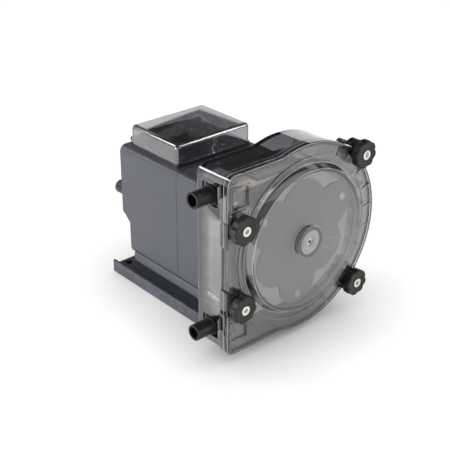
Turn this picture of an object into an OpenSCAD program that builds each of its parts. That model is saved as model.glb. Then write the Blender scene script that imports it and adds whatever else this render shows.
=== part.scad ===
// Peristaltic metering pump: a smoked clear roller head on a gear motor drive.
// Origin: middle of the base mounting holes, on the bench. Front faces -Y, up is +Z.

/* [Pump head] */

// height of the square side of the head
head_h = 150; // [148:1:156]
// radius of the round side of the head
head_r = 79; // [79:0.5:84]
// reach of the square side to the left of the rotor axis
head_left = 79.4; // [79:0.2:83]
// depth of the head behind the cover face
head_depth = 33; // [33:1:37]
// height of the rotor axis above the bench
axis_h = 85; // [84.5:0.5:90]
// thickness of the cover flange
cover_t = 3; // [2.6:0.1:3]
// thickness of the shell flange
flange_t = 4; // [3:0.5:5]
// thickness of the shell walls
shell_wall = 3; // [2.4:0.2:3.2]
// radius of the raised dome at its front
dome_r = 58.7; // [56:0.5:59.5]
// how far the dome stands out
dome_out = 5.8; // [5:0.2:7]
// how far the bearing hub stands out
hub_out = 7.9; // [7.4:0.1:9]

/* [Tube and rollers] */

// distance between the inlet and the outlet
port_gap = 110.8; // [109:0.4:111.4]
// outside diameter of the pumping tube
tube_od = 10; // [9:0.2:10.2]
// wall of the pumping tube
tube_wall = 2.3; // [2.1:0.1:2.4]
// radius of one roller
roller_r = 7; // [6:0.25:8]
// angle of the first roller
rotor_turn = 27; // [0:1:119]
// outside diameter of the fitting stubs
stub_od = 12.7; // [11:0.1:13]
// bore of the fitting stubs
stub_bore = 9.6; // [7:0.2:9.8]
// reach of the stubs past the head
stub_reach = 15.6; // [12:0.4:24]

/* [Knobs] */

// diameter of the four fluted knobs
knob_d = 23; // [20:0.5:24]
// thickness of the fluted knobs
knob_t = 8.7; // [7:0.1:11]
// flutes around each knob
knob_flutes = 8; // [6:1:10]

/* [Drive housing] */

// width of the housings
body_w = 93.2; // [93:0.4:98]
// top of the housings above the bench
body_top = 120.8; // [120.8:0.2:124]
// underside of the housings above the bench
body_low = 21.4; // [20:0.2:21.8]
// length of the gear housing
gear_l = 65.4; // [65:0.2:66.2]
// length of the motor housing
motor_l = 76.1; // [75:0.1:82]
// wall of both housings
wall = 3; // [2.6:0.1:3]

/* [Lid and controls] */

// width of the clear lid
lid_w = 79.4; // [78:0.2:81]
// length of the clear lid
lid_l = 63; // [62:0.2:64]
// height of the clear lid
lid_h = 16.8; // [16:0.2:22]
// wall of the clear lid
lid_wall = 2; // [1.6:0.1:2.2]
// how far the lid is turned open
lid_open = 0; // [0:5:105]

/* [Base] */

// width over the side rails
base_w = 113; // [110:1:124]
// length of the base plate
base_l = 139; // [138:1:150]
// height of the side rails
rail_h = 11.3; // [10:0.1:14]
// thickness of the base plate and its rails
sheet_t = 2; // [1.6:0.2:2.2]
// spacing of the mounting holes across the pump
hole_x = 88; // [86:0.5:92]
// spacing of the mounting holes along the pump
hole_y = 126; // [124:0.5:127]
// radius of the mounting holes
hole_r = 3.2; // [2.5:0.1:3.5]

/* [Hidden] */

$fn = 64;

// part to draw, or all of them

// Clearances
fit = 0.05;
seat_gap = 0.15;
run_gap = 0.35;

// Head positions along the pump
head_back = -76.5;
face_y = head_back - head_depth;
shell_y = face_y + cover_t;
wall_y = shell_y + flange_t;
floor_y = head_back - shell_wall;
edge_in = 1;
block_r = 7.7;
blend_r = 10;
knob_in = 11.1;
knob_out = 1.5;
knob_angle = 45.4;
knob_left = [knob_in - head_left, 33];
knob_right = (head_r + knob_out) * [cos(knob_angle), sin(knob_angle)];
ear_r = 9.6;
grip_z = 18.5;
grip_d = 1.6;

// Dome and hub
dome_base = dome_r + 3.3;
dome_wall = 2.6;
hub_r = 13.15;
bush_r = 9.95;
journal_r = 3;
hub_back = face_y + 1.2;

// Rotor
tube_y = head_back - 14;
port_z = port_gap / 2;
tube_r = tube_od / 2;
nip_t = 1.7 * tube_wall;
track_r = port_z + tube_r + seat_gap;
track_wall = 3;
orbit_r = track_r - seat_gap - nip_t - run_gap;
pin_orbit = orbit_r - roller_r;
plate_t = 2.4;
plate_front = face_y + 3.6;
plate_rear = floor_y - 0.8 - plate_t;
roller_y0 = plate_front + plate_t + 0.3;
roller_y1 = plate_rear - 0.3;
guard_r = 54;
guard_t = 0.8;
lobe_at = 37.5;
lobe_r = 19.5;
between_at = 26;
between_r = 22.7;
rotor_hub_r = 13;
shaft_r = 4.75;
flat_x = 3.9;
pin_r = 2;

// Tube
press_w = (tube_od - nip_t) * PI / 2 + nip_t;
bore_r = tube_r - tube_wall;
slit_t = 0.5;
slit_w = press_w - nip_t;
press_x = -8;
round_x = -31;
press_z = track_r - seat_gap - nip_t / 2;
leg_lap = 1;
leg_ease = 0.04;

// Fittings
block_x0 = -head_left + edge_in + shell_wall + 0.2;
block_x1 = -60;
block_w = 16.6;
block_y0 = tube_y - 8.4;
block_y1 = tube_y + 8.4;
tail_l = 11.5;
tail_r = bore_r - fit;
clamp_x = -56.5;
clamp_w = 5;
collar_r = 7.6;

// Drive housing positions
seam_y = head_back + gear_l;
rear_y = seam_y + motor_l;
body_z0 = body_low - axis_h;
body_z1 = body_top - axis_h;
corner_r = 6;
step_z = body_z0 + 29.6;
step_d = 10.3;
vent_z = body_z1 - 13.8;

// Gear train
module_mm = 0.8;
pinion_n = 12;
wheel_n = 48;
gear_c = module_mm * (pinion_n + wheel_n) / 2;
motor_r = 27;
motor_gap = 3.6;
motor_z = body_z0 + wall + motor_r + motor_gap;
idler_z = motor_z / 2;
idler_x = sqrt(gear_c * gear_c - idler_z * idler_z);
idler_a = atan2(idler_z, idler_x);
motor_a = atan2(motor_z - idler_z, -idler_x);
output_y = head_back + 29;
idler_wheel_y = head_back + 45;
wheel_t = 6;
box_plate_y = head_back + 55;
box_plate_t = 2.5;
box_plate_w = 69;
box_plate_z0 = body_z0 + 7.6;
box_plate_z1 = body_z1 - 5.8;
pillar_x = 30;
pillar_z = [box_plate_z1 - 5, box_plate_z0 + 7];
pillar = [for (i = [-1, 1], z = pillar_z) [i * pillar_x, z]];
pillar_r = 3.2;
head_screw_x = 20;
head_screw_z = [body_z1 - 11.8, body_z0 + 19.6];
head_screw = [for (i = [-1, 1], z = head_screw_z) [i * head_screw_x, z]];
corner_in = 7.2;
motor_y = box_plate_y + box_plate_t;
motor_body_l = 46;
can_wall = 1.8;
magnet_t = 5.9;
magnet_l = motor_body_l - 18;
core_l = motor_body_l - 24;
commutator_l = 7;
commutator_r = 8;
core_r = motor_r - can_wall - magnet_t - 0.9;
slot_d = 5.4;
slot_w = 1.8;
step_r = 2.95;

// Lid and panel
lid_y = seam_y + 38;
curb = 2;
bezel_w = lid_w + 1.6;
bezel_l = lid_l + 1.8;
tub_w = lid_w - 6;
tub_l = lid_l - 6;
tub_floor = body_top - 2.3;
tub_t = 2;
hinge_y = lid_y + lid_l / 2 + 3;
hinge_z = body_top + curb + 1.9;
hinge_r = 2.5;
hinge_pin_r = 1;
lid_z = body_top + curb + 0.15;
toggle_at = [7.5, lid_y - 22];
dial_at = [10, lid_y + 9.5];
lamp_at = [-13, lid_y - 24];
panel_hole = [tub_w / 2 - 6, tub_l / 2 - 6];
post_at = [22, 16];
board_z = body_top - 31;
board_t = 1.6;

// Rear fittings
fuse_at = [-38, body_top - 45.3];
inlet_at = [30, body_top - 49.4];

// Base and pedestal
floor_z = 5;
boss_wall = 2;
foot_z = floor_z + sheet_t;
foot_w = 76;
top_w = 88;
foot_l = 130;
tower = [[-27, -50], [27, -50], [-27, 40], [27, 40]];
rib_t = 3;

// Ring of a rounded rectangle drawn about its centre
module rounded_rect(w, h, r) {
    square([w - 2 * r, h], center = true);
    square([w, h - 2 * r], center = true);
    for (i = [-1, 1], j = [-1, 1]) {
        translate([i * (w / 2 - r), j * (h / 2 - r)])
            circle(r);
    }
}

// Raise a drawing in X and Z into a slab between two Y positions
module slab(y0, y1) {
    translate([0, y1, 0])
        rotate([90, 0, 0])
            linear_extrude(height = y1 - y0)
                children();
}

// Round bar along Y at X and Z
module rod_y(x, z, y0, y1, r) {
    translate([x, y0, z])
        rotate([-90, 0, 0])
            cylinder(h = y1 - y0, r = r);
}

// Tapered round bar along Y at X and Z
module cone_y(x, z, y0, y1, r0, r1) {
    translate([x, y0, z])
        rotate([-90, 0, 0])
            cylinder(h = y1 - y0, r1 = r0, r2 = r1);
}

// Upright round bar
module rod_z(x, y, z0, z1, r) {
    translate([x, y, z0])
        cylinder(h = z1 - z0, r = r);
}

// Round bar along X
module rod_x(x0, x1, y, z, r) {
    translate([x0, y, z])
        rotate([0, 90, 0])
            cylinder(h = x1 - x0, r = r);
}

// Box given by two opposite corners
module box(a, b) {
    translate(a)
        cube(b - a);
}

// Lift to the rotor axis
module on_axis() {
    translate([0, 0, axis_h])
        children();
}

// Concave blend where the square side meets the round side
module outline_blend(inset) {
    r = head_r - inset;
    z = head_h / 2 - inset;
    b = blend_r + inset;
    cx = -sqrt((r + b) * (r + b) - (z + b) * (z + b));
    cz = z + b;
    tx = cx * r / (r + b);
    tz = cz * r / (r + b);
    difference() {
        polygon([[cx, z - 1], [cx, z], [cx, tz], [tx, tz], [tx + 2, tz - 1], [tx + 2, z - 1]]);
        translate([cx, cz])
            circle(b);
    }
}

// Outline of the head seen from the front
module head_outline(inset) {
    r = block_r - inset / 2;
    h = head_h - 2 * inset;
    w = head_left - inset;
    circle(head_r - inset, $fn = 180);
    translate([-w, -h / 2 + r])
        square([w, h - 2 * r]);
    translate([-w + r, -h / 2])
        square([w - r, h]);
    for (j = [-1, 1]) {
        translate([-w + r, j * (h / 2 - r)])
            circle(r);
    }
    if (head_h / 2 < head_r) {
        outline_blend(inset);
        mirror([0, 1])
            outline_blend(inset);
    }
}

// Outline with the two ears that carry the right hand knobs
module flange_outline(inset) {
    difference() {
        union() {
            head_outline(inset);
            for (j = [-1, 1]) {
                translate([knob_right[0], j * knob_right[1]])
                    circle(ear_r - inset);
            }
        }
        translate([-head_left - 1, -grip_z])
            square([grip_d + 1, 2 * grip_z]);
    }
}

// The four knob positions
module at_knobs() {
    for (j = [-1, 1]) {
        translate([knob_left[0], j * knob_left[1]])
            children();
        translate([knob_right[0], j * knob_right[1]])
            children();
    }
}

// U shaped line that the tube runs along, open to the left
module track_shape(r, reach) {
    circle(r, $fn = 180);
    translate([-reach, -r])
        square([reach, 2 * r]);
}

// Moulded base plate with two side rails and a boss under each mounting hole
module base_plate() {
    color([0.30, 0.31, 0.34])
    difference() {
        union() {
            box([-base_w / 2, -base_l / 2, floor_z], [base_w / 2, base_l / 2, foot_z]);
            for (s = [-1, 1]) {
                translate([s * (base_w - sheet_t) / 2, 0, rail_h / 2])
                    cube([sheet_t, base_l, rail_h], center = true);
            }
            for (i = [-1, 1], j = [-1, 1]) {
                rod_z(i * hole_x / 2, j * hole_y / 2, 0, foot_z, hole_r + boss_wall);
            }
        }
        for (i = [-1, 1], j = [-1, 1]) {
            rod_z(i * hole_x / 2, j * hole_y / 2, -1, foot_z + 1, hole_r);
        }
        for (p = tower) {
            rod_z(p[0], p[1], floor_z - 1, foot_z + 1, 2.3);
        }
    }
}

// Tapered block that carries the housings
module pedestal_solid(inset) {
    w0 = foot_w / 2 - inset;
    w1 = top_w / 2 - inset;
    l0 = foot_l / 2 - inset;
    l1 = foot_l / 2 - 8 - inset;
    h = body_low - foot_z;
    intersection() {
        translate([0, 70, foot_z])
            rotate([90, 0, 0])
                linear_extrude(height = 140)
                    polygon([[-w0, 0], [w0, 0], [w1, h], [-w1, h]]);
        translate([-50, -2.5, foot_z])
            rotate([90, 0, 90])
                linear_extrude(height = 100)
                    polygon([[-l0, 0], [l0, 0], [l1, h], [-l0, h]]);
    }
}

// Pedestal between the base plate and the housings
module pedestal() {
    color([0.20, 0.20, 0.22])
    difference() {
        union() {
            difference() {
                pedestal_solid(0);
                pedestal_solid(4);
            }
            intersection() {
                pedestal_solid(1);
                for (p = tower) {
                    translate([-base_w / 2, p[1] - rib_t / 2, foot_z])
                        cube([base_w, rib_t, body_low - foot_z]);
                }
            }
            for (p = tower) {
                rod_z(p[0], p[1], foot_z, body_low, 5);
            }
        }
        for (p = tower) {
            rod_z(p[0], p[1], foot_z - 1, body_low + 1, 2.3);
        }
    }
}

// Screws that hold the base and the pedestal to the housings
module base_screws() {
    color([0.62, 0.62, 0.64])
    for (p = tower) {
        difference() {
            union() {
                rod_z(p[0], p[1], floor_z - 2.6, floor_z, 4);
                rod_z(p[0], p[1], floor_z - 0.01, body_low + 9, 2.2);
            }
            translate([p[0], p[1], floor_z - 3.6])
                cylinder(h = 2.6, r = 1.6, $fn = 6);
        }
    }
}

// Section of the housings seen from the front
module body_section(inset) {
    r = corner_r - inset;
    translate([0, (body_z0 + body_z1) / 2])
        rounded_rect(body_w - 2 * inset, body_z1 - body_z0 - 2 * inset, r);
}

// Gear housing behind the head
module gear_housing() {
    corner = [body_w / 2 - corner_in, body_z1 - corner_in, body_z0 + corner_in];
    color([0.22, 0.22, 0.24])
    on_axis()
    difference() {
        union() {
            difference() {
                slab(head_back, seam_y)
                    body_section(0);
                slab(head_back + 4.5, seam_y + 1)
                    body_section(wall);
            }
            rod_y(0, 0, head_back + 4, head_back + 9, 12);
            rod_y(idler_x, idler_z, head_back + 4, head_back + 22, 5);
            for (p = head_screw) {
                rod_y(p[0], p[1], head_back + 4, head_back + 14, 5);
            }
            for (i = [-1, 1], j = [1, 2]) {
                rod_y(i * corner[0], corner[j], seam_y - 14, seam_y, 4.4);
                translate([i * (corner[0] + 2.2), seam_y - 7, corner[j] + (j == 1 ? 2.2 : -2.2)])
                    cube([4.4, 14, 4.4], center = true);
            }
            for (p = tower) {
                if (p[1] < seam_y) {
                    rod_z(p[0], p[1], body_z0 + 1, body_z0 + 10, 5);
                }
            }
        }
        rod_y(0, 0, head_back - 1, head_back + 10, 8);
        rod_y(idler_x, idler_z, head_back + 6, head_back + 23, 2.5);
        for (p = head_screw) {
            rod_y(p[0], p[1], head_back - 1, head_back + 13, 2.05);
        }
        for (p = pillar) {
            rod_y(p[0], p[1], head_back - 1, head_back + 5, 1.6);
        }
        for (i = [-1, 1], j = [1, 2]) {
            rod_y(i * corner[0], corner[j], seam_y - 12, seam_y + 1, 1.75);
        }
        for (p = tower) {
            if (p[1] < seam_y) {
                rod_z(p[0], p[1], body_z0 - 1, body_z0 + 9.4, 2.25);
            }
        }
    }
}

// Rear end of the motor housing, set in below
module rear_step(inset) {
    translate([-60, 0, 0])
        rotate([90, 0, 90])
            linear_extrude(height = 120)
                polygon([
                    [rear_y + 1, step_z + 9 - inset],
                    [rear_y - inset, step_z + 7.5 - inset],
                    [rear_y - 3 - inset, step_z + 6 - inset],
                    [rear_y - step_d + 0.4 - inset, step_z - inset],
                    [rear_y - step_d - inset, body_z0 - 1],
                    [rear_y + 1, body_z0 - 1]
                ]);
}

// Motor housing with the opening for the controls
module motor_housing() {
    cx = body_w / 2 - corner_in;
    hi = body_z1 - corner_in;
    lo = body_z0 + corner_in;
    low_rear = rear_y - step_d - 0.3;
    lug_x0 = panel_hole[0] - 4.5;
    lug_x1 = body_w / 2 - 1;
    color([0.22, 0.22, 0.24])
    on_axis()
    difference() {
        union() {
            difference() {
                slab(seam_y, rear_y)
                    body_section(0);
                rear_step(0);
                difference() {
                    slab(seam_y - 1, rear_y - wall)
                        body_section(wall);
                    rear_step(wall);
                }
            }
            for (i = [-1, 1]) {
                rod_y(i * cx, hi, seam_y, rear_y - 1, 4.4);
                rod_y(i * cx, lo, seam_y, low_rear - 1, 4.4);
                translate([i * (cx + 2.2), (seam_y + rear_y - 1) / 2, hi + 2.2])
                    cube([4.4, rear_y - 1 - seam_y, 4.4], center = true);
                translate([i * (cx + 2.2), (seam_y + low_rear - 1) / 2, lo - 2.2])
                    cube([4.4, low_rear - 1 - seam_y, 4.4], center = true);
            }
            for (i = [-1, 1], j = [-1, 1]) {
                translate([
                    i * (lug_x0 + lug_x1) / 2,
                    lid_y + j * panel_hole[1],
                    tub_floor - tub_t - axis_h - 3
                ])
                    cube([lug_x1 - lug_x0, 9, 6], center = true);
            }
            for (p = tower) {
                if (p[1] > seam_y) {
                    rod_z(p[0], p[1], body_z0 + 1, body_z0 + 10, 5);
                }
            }
            box(
                [-body_w / 2 + 1.5, rear_y - 1, step_z + 7.6],
                [body_w / 2 - 1.5, rear_y + 1.4, step_z + 11.4]
            );
        }
        translate([-tub_w / 2 - fit, lid_y - tub_l / 2 - fit, tub_floor - tub_t - axis_h])
            cube([tub_w + 2 * fit, tub_l + 2 * fit, 20]);
        for (i = [-1, 1], j = [-1, 1]) {
            translate([i * panel_hole[0], lid_y + j * panel_hole[1], -axis_h])
                rod_z(0, 0, tub_floor - 13.5, body_top + 1, 1.3);
        }
        for (i = [-1, 1]) {
            rod_y(i * cx, hi, seam_y - 1, rear_y + 1, 1.95);
            rod_y(i * cx, lo, seam_y - 1, rear_y + 1, 1.95);
            rod_y(i * cx, hi, rear_y - 3, rear_y + 1, 3.7);
            rod_y(i * cx, lo, low_rear - 3, rear_y + 1, 3.7);
        }
        rod_y(fuse_at[0], fuse_at[1] - axis_h, rear_y - 5, rear_y + 5, 4.8);
        rod_y(inlet_at[0], inlet_at[1] - axis_h, rear_y - 5, rear_y + 5, 6.2);
        for (p = tower) {
            if (p[1] > seam_y) {
                rod_z(p[0], p[1], body_z0 - 1, body_z0 + 9.4, 2.25);
            }
        }
        for (k = [0:5]) {
            box([-18, rear_y - wall - 1, vent_z - k * 4.4], [12, rear_y + 1, vent_z + 2.2 - k * 4.4]);
        }
    }
}

// Screws that pull the two housings together
module housing_screws() {
    cx = body_w / 2 - corner_in;
    hi = body_z1 - corner_in;
    lo = body_z0 + corner_in;
    ends = [[hi, rear_y - 3], [lo, rear_y - step_d - 3.3]];
    color([0.62, 0.62, 0.64])
    on_axis()
    for (i = [-1, 1], e = ends) {
        difference() {
            union() {
                rod_y(i * cx, e[0], e[1], e[1] + 2.4, 3.4);
                rod_y(i * cx, e[0], seam_y - 10, e[1] + 0.01, 1.7);
            }
            translate([i * cx, e[1] + 3, e[0]])
                rotate([90, 0, 0])
                    cylinder(h = 2, r = 1.4, $fn = 6);
        }
    }
}

// Bush in the housing wall for the output shaft
module shaft_bush() {
    color([0.66, 0.52, 0.30])
    on_axis()
    difference() {
        rod_y(0, 0, head_back + 0.5, head_back + 9, 8 - fit / 2);
        rod_y(0, 0, head_back, head_back + 10, shaft_r + fit);
    }
}

// Rubber lip seal in the floor of the head shell
module shaft_seal() {
    color([0.08, 0.08, 0.08])
    on_axis()
    difference() {
        rod_y(0, 0, floor_y + 0.3, head_back, 10.95);
        rod_y(0, 0, floor_y - 1, head_back + 1, shaft_r + fit);
    }
}

// Steel plate that carries the rear ends of the gear shafts
module gearbox_plate() {
    color([0.60, 0.61, 0.62])
    on_axis()
    difference() {
        slab(box_plate_y, box_plate_y + box_plate_t)
            translate([0, (box_plate_z0 + box_plate_z1) / 2])
                rounded_rect(box_plate_w, box_plate_z1 - box_plate_z0, 3);
        rod_y(0, 0, box_plate_y - 1, box_plate_y + 4, journal_r + fit);
        rod_y(idler_x, idler_z, box_plate_y - 1, box_plate_y + 4, 2.5 + fit / 2);
        rod_y(0, motor_z, box_plate_y - 1, box_plate_y + 4, 7);
        for (p = pillar) {
            rod_y(p[0], p[1], box_plate_y - 1, box_plate_y + 4, 1.6);
        }
        for (i = [-1, 1]) {
            rod_y(i * 18, motor_z, box_plate_y - 1, box_plate_y + 4, 1.55);
        }
    }
}

// Pillars between the housing wall and the gearbox plate
module gearbox_pillars() {
    color([0.62, 0.62, 0.64])
    on_axis()
    for (p = pillar) {
        difference() {
            rod_y(p[0], p[1], head_back + 4.5, box_plate_y, pillar_r);
            rod_y(p[0], p[1], head_back + 4, box_plate_y + 1, 1.6);
        }
    }
}

// Screws through the gearbox plate and the pillars
module gearbox_screws() {
    color([0.62, 0.62, 0.64])
    on_axis()
    for (p = pillar) {
        difference() {
            union() {
                rod_y(p[0], p[1], motor_y, motor_y + 2.2, 3);
                rod_y(p[0], p[1], head_back + 1, motor_y + 0.01, 1.55);
            }
            translate([p[0], motor_y + 3, p[1]])
                rotate([90, 0, 0])
                    cylinder(h = 2, r = 1.3, $fn = 6);
        }
    }
}

// Half width angle of a gear tooth at radius r
function tooth_half(n, r) =
    let(rp = n * module_mm / 2)
    let(rb = rp * cos(20))
    let(at = acos(min(1, rb / max(r, rb))))
    let(inv = tan(at) - at * PI / 180)
    let(inv0 = tan(20) - 20 * PI / 180)
    87 / n + (inv0 - inv) * 180 / PI;

// Outline of a spur gear with n teeth, its first tooth at angle turn
module gear_shape(n, top, turn) {
    rp = n * module_mm / 2;
    rb = rp * cos(20);
    ro = rp + top * module_mm;
    ri = rp - 1.25 * module_mm;
    r0 = max(rb, ri + 0.05);
    rs = [for (k = [0:4]) r0 + (ro - r0) * k / 4];
    circle(ri + 0.02);
    for (t = [0:n - 1]) {
        a = turn + t * 360 / n;
        polygon(concat(
            [[(ri - 0.4) * cos(a - tooth_half(n, r0)), (ri - 0.4) * sin(a - tooth_half(n, r0))]],
            [for (r = rs) [r * cos(a - tooth_half(n, r)), r * sin(a - tooth_half(n, r))]],
            [for (k = [4:-1:0]) [
                rs[k] * cos(a + tooth_half(n, rs[k])),
                rs[k] * sin(a + tooth_half(n, rs[k]))
            ]],
            [[(ri - 0.4) * cos(a + tooth_half(n, r0)), (ri - 0.4) * sin(a + tooth_half(n, r0))]]
        ));
    }
}

// Angle of a tooth on the gear of n2 teeth that meshes with one of n1 teeth at turn1
function mesh_turn(turn1, toward, n1, n2) = toward + 180 - (turn1 - toward) * n1 / n2 + 180 / n2;

output_turn = 0;
idler_small_turn = mesh_turn(output_turn, idler_a, wheel_n, pinion_n);
idler_big_turn = 0;
motor_turn = mesh_turn(idler_big_turn, motor_a, wheel_n, pinion_n);

// Large gear fixed on the output shaft
module output_gear() {
    color([0.86, 0.85, 0.80])
    on_axis()
    difference() {
        union() {
            slab(output_y, output_y + wheel_t)
                gear_shape(wheel_n, 0.7, output_turn);
            rod_y(0, 0, output_y - 4, output_y + wheel_t, 8.5);
        }
        rod_y(0, 0, output_y - 5, output_y + wheel_t + 1, shaft_r + fit);
        for (a = [0:60:300]) {
            rod_y(12.6 * cos(a), 12.6 * sin(a), output_y - 1, output_y + wheel_t + 1, 2.6);
        }
    }
}

// Stepped idler gear: small pinion in front, large wheel behind
module idler_gear() {
    color([0.86, 0.85, 0.80])
    on_axis()
    translate([idler_x, 0, idler_z])
    difference() {
        union() {
            slab(output_y - 2, idler_wheel_y)
                gear_shape(pinion_n, 0.8, idler_small_turn);
            slab(idler_wheel_y, idler_wheel_y + 5)
                gear_shape(wheel_n, 0.7, idler_big_turn);
        }
        rod_y(0, 0, output_y - 3, idler_wheel_y + 6, 2.5 + fit);
        for (a = [30:60:330]) {
            rod_y(12 * cos(a), 12 * sin(a), idler_wheel_y - 1, idler_wheel_y + 6, 3);
        }
    }
}

// Steel pin that the idler gear turns on
module idler_pin() {
    color([0.66, 0.66, 0.68])
    on_axis()
    rod_y(idler_x, idler_z, head_back + 6.5, box_plate_y + box_plate_t, 2.5 - fit / 2);
}

// Output shaft from the gearbox to the cover bearing
module output_shaft() {
    color([0.66, 0.66, 0.68])
    on_axis()
    difference() {
        union() {
            rod_y(0, 0, plate_front - 0.6, output_y + wheel_t + 1, shaft_r);
            rod_y(0, 0, face_y - 6.6, plate_front, journal_r - fit);
            rod_y(0, 0, output_y + wheel_t, box_plate_y + box_plate_t, journal_r);
        }
        translate([0, face_y - 3.6, 0])
            rotate([90, 0, 0])
                cylinder(h = 4, r = 1.6, $fn = 6);
        box([flat_x, plate_front + plate_t, -shaft_r], [shaft_r + 1, plate_rear, shaft_r]);
    }
}

// Motor can, open at the rear
module motor_can() {
    color([0.55, 0.56, 0.58])
    on_axis()
    difference() {
        union() {
            rod_y(0, motor_z, motor_y, motor_y + motor_body_l, motor_r);
            rod_y(0, motor_z, motor_y - 2, motor_y + 1, 6.9);
        }
        rod_y(0, motor_z, motor_y + 3, motor_y + motor_body_l + 1, motor_r - can_wall);
        rod_y(0, motor_z, motor_y - 3, motor_y + 4, 2.5 + fit);
        for (i = [-1, 1]) {
            rod_y(i * 18, motor_z, motor_y - 1, motor_y + 4, 1.55);
        }
    }
}

// Screws that hold the motor to the gearbox plate
module motor_screws() {
    color([0.62, 0.62, 0.64])
    on_axis()
    for (i = [-1, 1]) {
        rod_y(i * 18, motor_z, box_plate_y - 2, box_plate_y, 2.7);
        rod_y(i * 18, motor_z, box_plate_y - 0.01, motor_y + 2.8, 1.5);
    }
}

// Curved magnets inside the can
module motor_magnets() {
    color([0.25, 0.24, 0.24])
    on_axis()
    for (s = [0, 180]) {
        translate([0, motor_y + 7, motor_z])
            rotate([0, s, 0])
                rotate([-90, 0, 0])
                    rotate([0, 0, -65])
                        rotate_extrude(angle = 130)
                            translate([motor_r - can_wall - magnet_t - 0.1, 0])
                                square([magnet_t, magnet_l]);
    }
}

// Armature with the motor shaft and its pinion
module motor_armature() {
    color([0.60, 0.45, 0.32])
    on_axis()
    translate([0, 0, motor_z]) {
        slab(idler_wheel_y - 2, idler_wheel_y + 6)
            gear_shape(pinion_n, 0.8, motor_turn);
        rod_y(0, 0, idler_wheel_y - 3, motor_y + motor_body_l - 1, 2.5);
        rod_y(0, 0, motor_y + core_l + 10, motor_y + core_l + 10 + commutator_l, commutator_r);
        slab(motor_y + 8, motor_y + 8 + core_l)
        difference() {
            circle(core_r);
            for (a = [0:30:330]) {
                rotate(a)
                    translate([core_r - slot_d, -slot_w / 2])
                        square([slot_d + 1, slot_w]);
            }
        }
    }
}

// Moulded end cap with the rear motor bearing and the brush boxes
module motor_cap() {
    cap_y = motor_y + motor_body_l;
    color([0.12, 0.12, 0.12])
    on_axis()
    difference() {
        union() {
            rod_y(0, motor_z, cap_y, cap_y + 3, motor_r);
            rod_y(0, motor_z, cap_y - 5, cap_y + 0.5, motor_r - can_wall - fit);
            for (i = [-1, 1]) {
                translate([i * 15, cap_y + 4.5, motor_z])
                    cube([9, 5, 7], center = true);
            }
        }
        rod_y(0, motor_z, cap_y - 10, cap_y - 3.5, 10);
        rod_y(0, motor_z, cap_y - 4, cap_y - 0.5, 2.5 + fit);
    }
}

// Bezel and sunken panel under the lid
module control_panel() {
    color([0.10, 0.10, 0.11])
    difference() {
        union() {
            translate([0, lid_y, body_top])
                linear_extrude(height = curb)
                    rounded_rect(bezel_w, bezel_l, 4);
            box(
                [-tub_w / 2, lid_y - tub_l / 2, tub_floor - tub_t],
                [tub_w / 2, lid_y + tub_l / 2, body_top + 0.5]
            );
            box(
                [-23.4, lid_y + bezel_l / 2 - 1, body_top],
                [23.4, hinge_y + hinge_r - 0.3, hinge_z]
            );
            rod_x(-23.4, 23.4, hinge_y, hinge_z, hinge_r - 0.2);
        }
        box(
            [-tub_w / 2 + 2, lid_y - tub_l / 2 + 2, tub_floor],
            [tub_w / 2 - 2, lid_y + tub_l / 2 - 2, body_top + curb + 1]
        );
        box(
            [-23.5, lid_y + lid_l / 2 - 4, body_top + curb],
            [23.5, lid_y + lid_l / 2 + 0.3, body_top + 20]
        );
        rod_x(-30, 30, hinge_y, hinge_z, hinge_pin_r + fit);
        rod_z(toggle_at[0], toggle_at[1], tub_floor - 5, tub_floor + 1, 3.05);
        rod_z(dial_at[0], dial_at[1], tub_floor - 5, tub_floor + 1, 3.55);
        rod_z(lamp_at[0], lamp_at[1], tub_floor - 5, tub_floor + 1, 1.55);
        for (i = [-1, 1], j = [-1, 1]) {
            rod_z(i * panel_hole[0], lid_y + j * panel_hole[1], tub_floor - 5, tub_floor + 1, 1.35);
            rod_z(i * post_at[0], lid_y + j * post_at[1], tub_floor - 5, tub_floor + 1, 1.35);
        }
    }
}

// Screws that hold the panel to the motor housing
module panel_screws() {
    color([0.62, 0.62, 0.64])
    for (i = [-1, 1], j = [-1, 1]) {
        translate([i * panel_hole[0], lid_y + j * panel_hole[1], 0])
        difference() {
            union() {
                rod_z(0, 0, tub_floor, tub_floor + 1.4, 2.3);
                rod_z(0, 0, tub_floor - 6.5, tub_floor + 0.01, 1.25);
            }
            translate([-1.8, -0.3, tub_floor + 0.7])
                cube([3.6, 0.6, 1]);
        }
    }
}

// Rounded box with a flat underside, drawn about its middle
module soft_box(w, l, h, r) {
    translate([0, 0, 0])
        linear_extrude(height = h - r)
            rounded_rect(w, l, r);
    translate([0, 0, h / 2])
        cube([w - 2 * r, l - 2 * r, h], center = true);
    for (s = [-1, 1]) {
        translate([0, s * (l / 2 - r), h - r])
            rotate([0, 90, 0])
                cylinder(h = w - 2 * r, r = r, center = true);
        translate([s * (w / 2 - r), 0, h - r])
            rotate([90, 0, 0])
                cylinder(h = l - 2 * r, r = r, center = true);
        for (t = [-1, 1]) {
            translate([s * (w / 2 - r), t * (l / 2 - r), h - r])
                sphere(r);
        }
    }
}

// Turn the lid about its hinge
module at_lid_hinge() {
    translate([0, hinge_y, hinge_z])
        rotate([-lid_open, 0, 0])
            translate([0, -hinge_y, -hinge_z])
                children();
}

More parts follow.
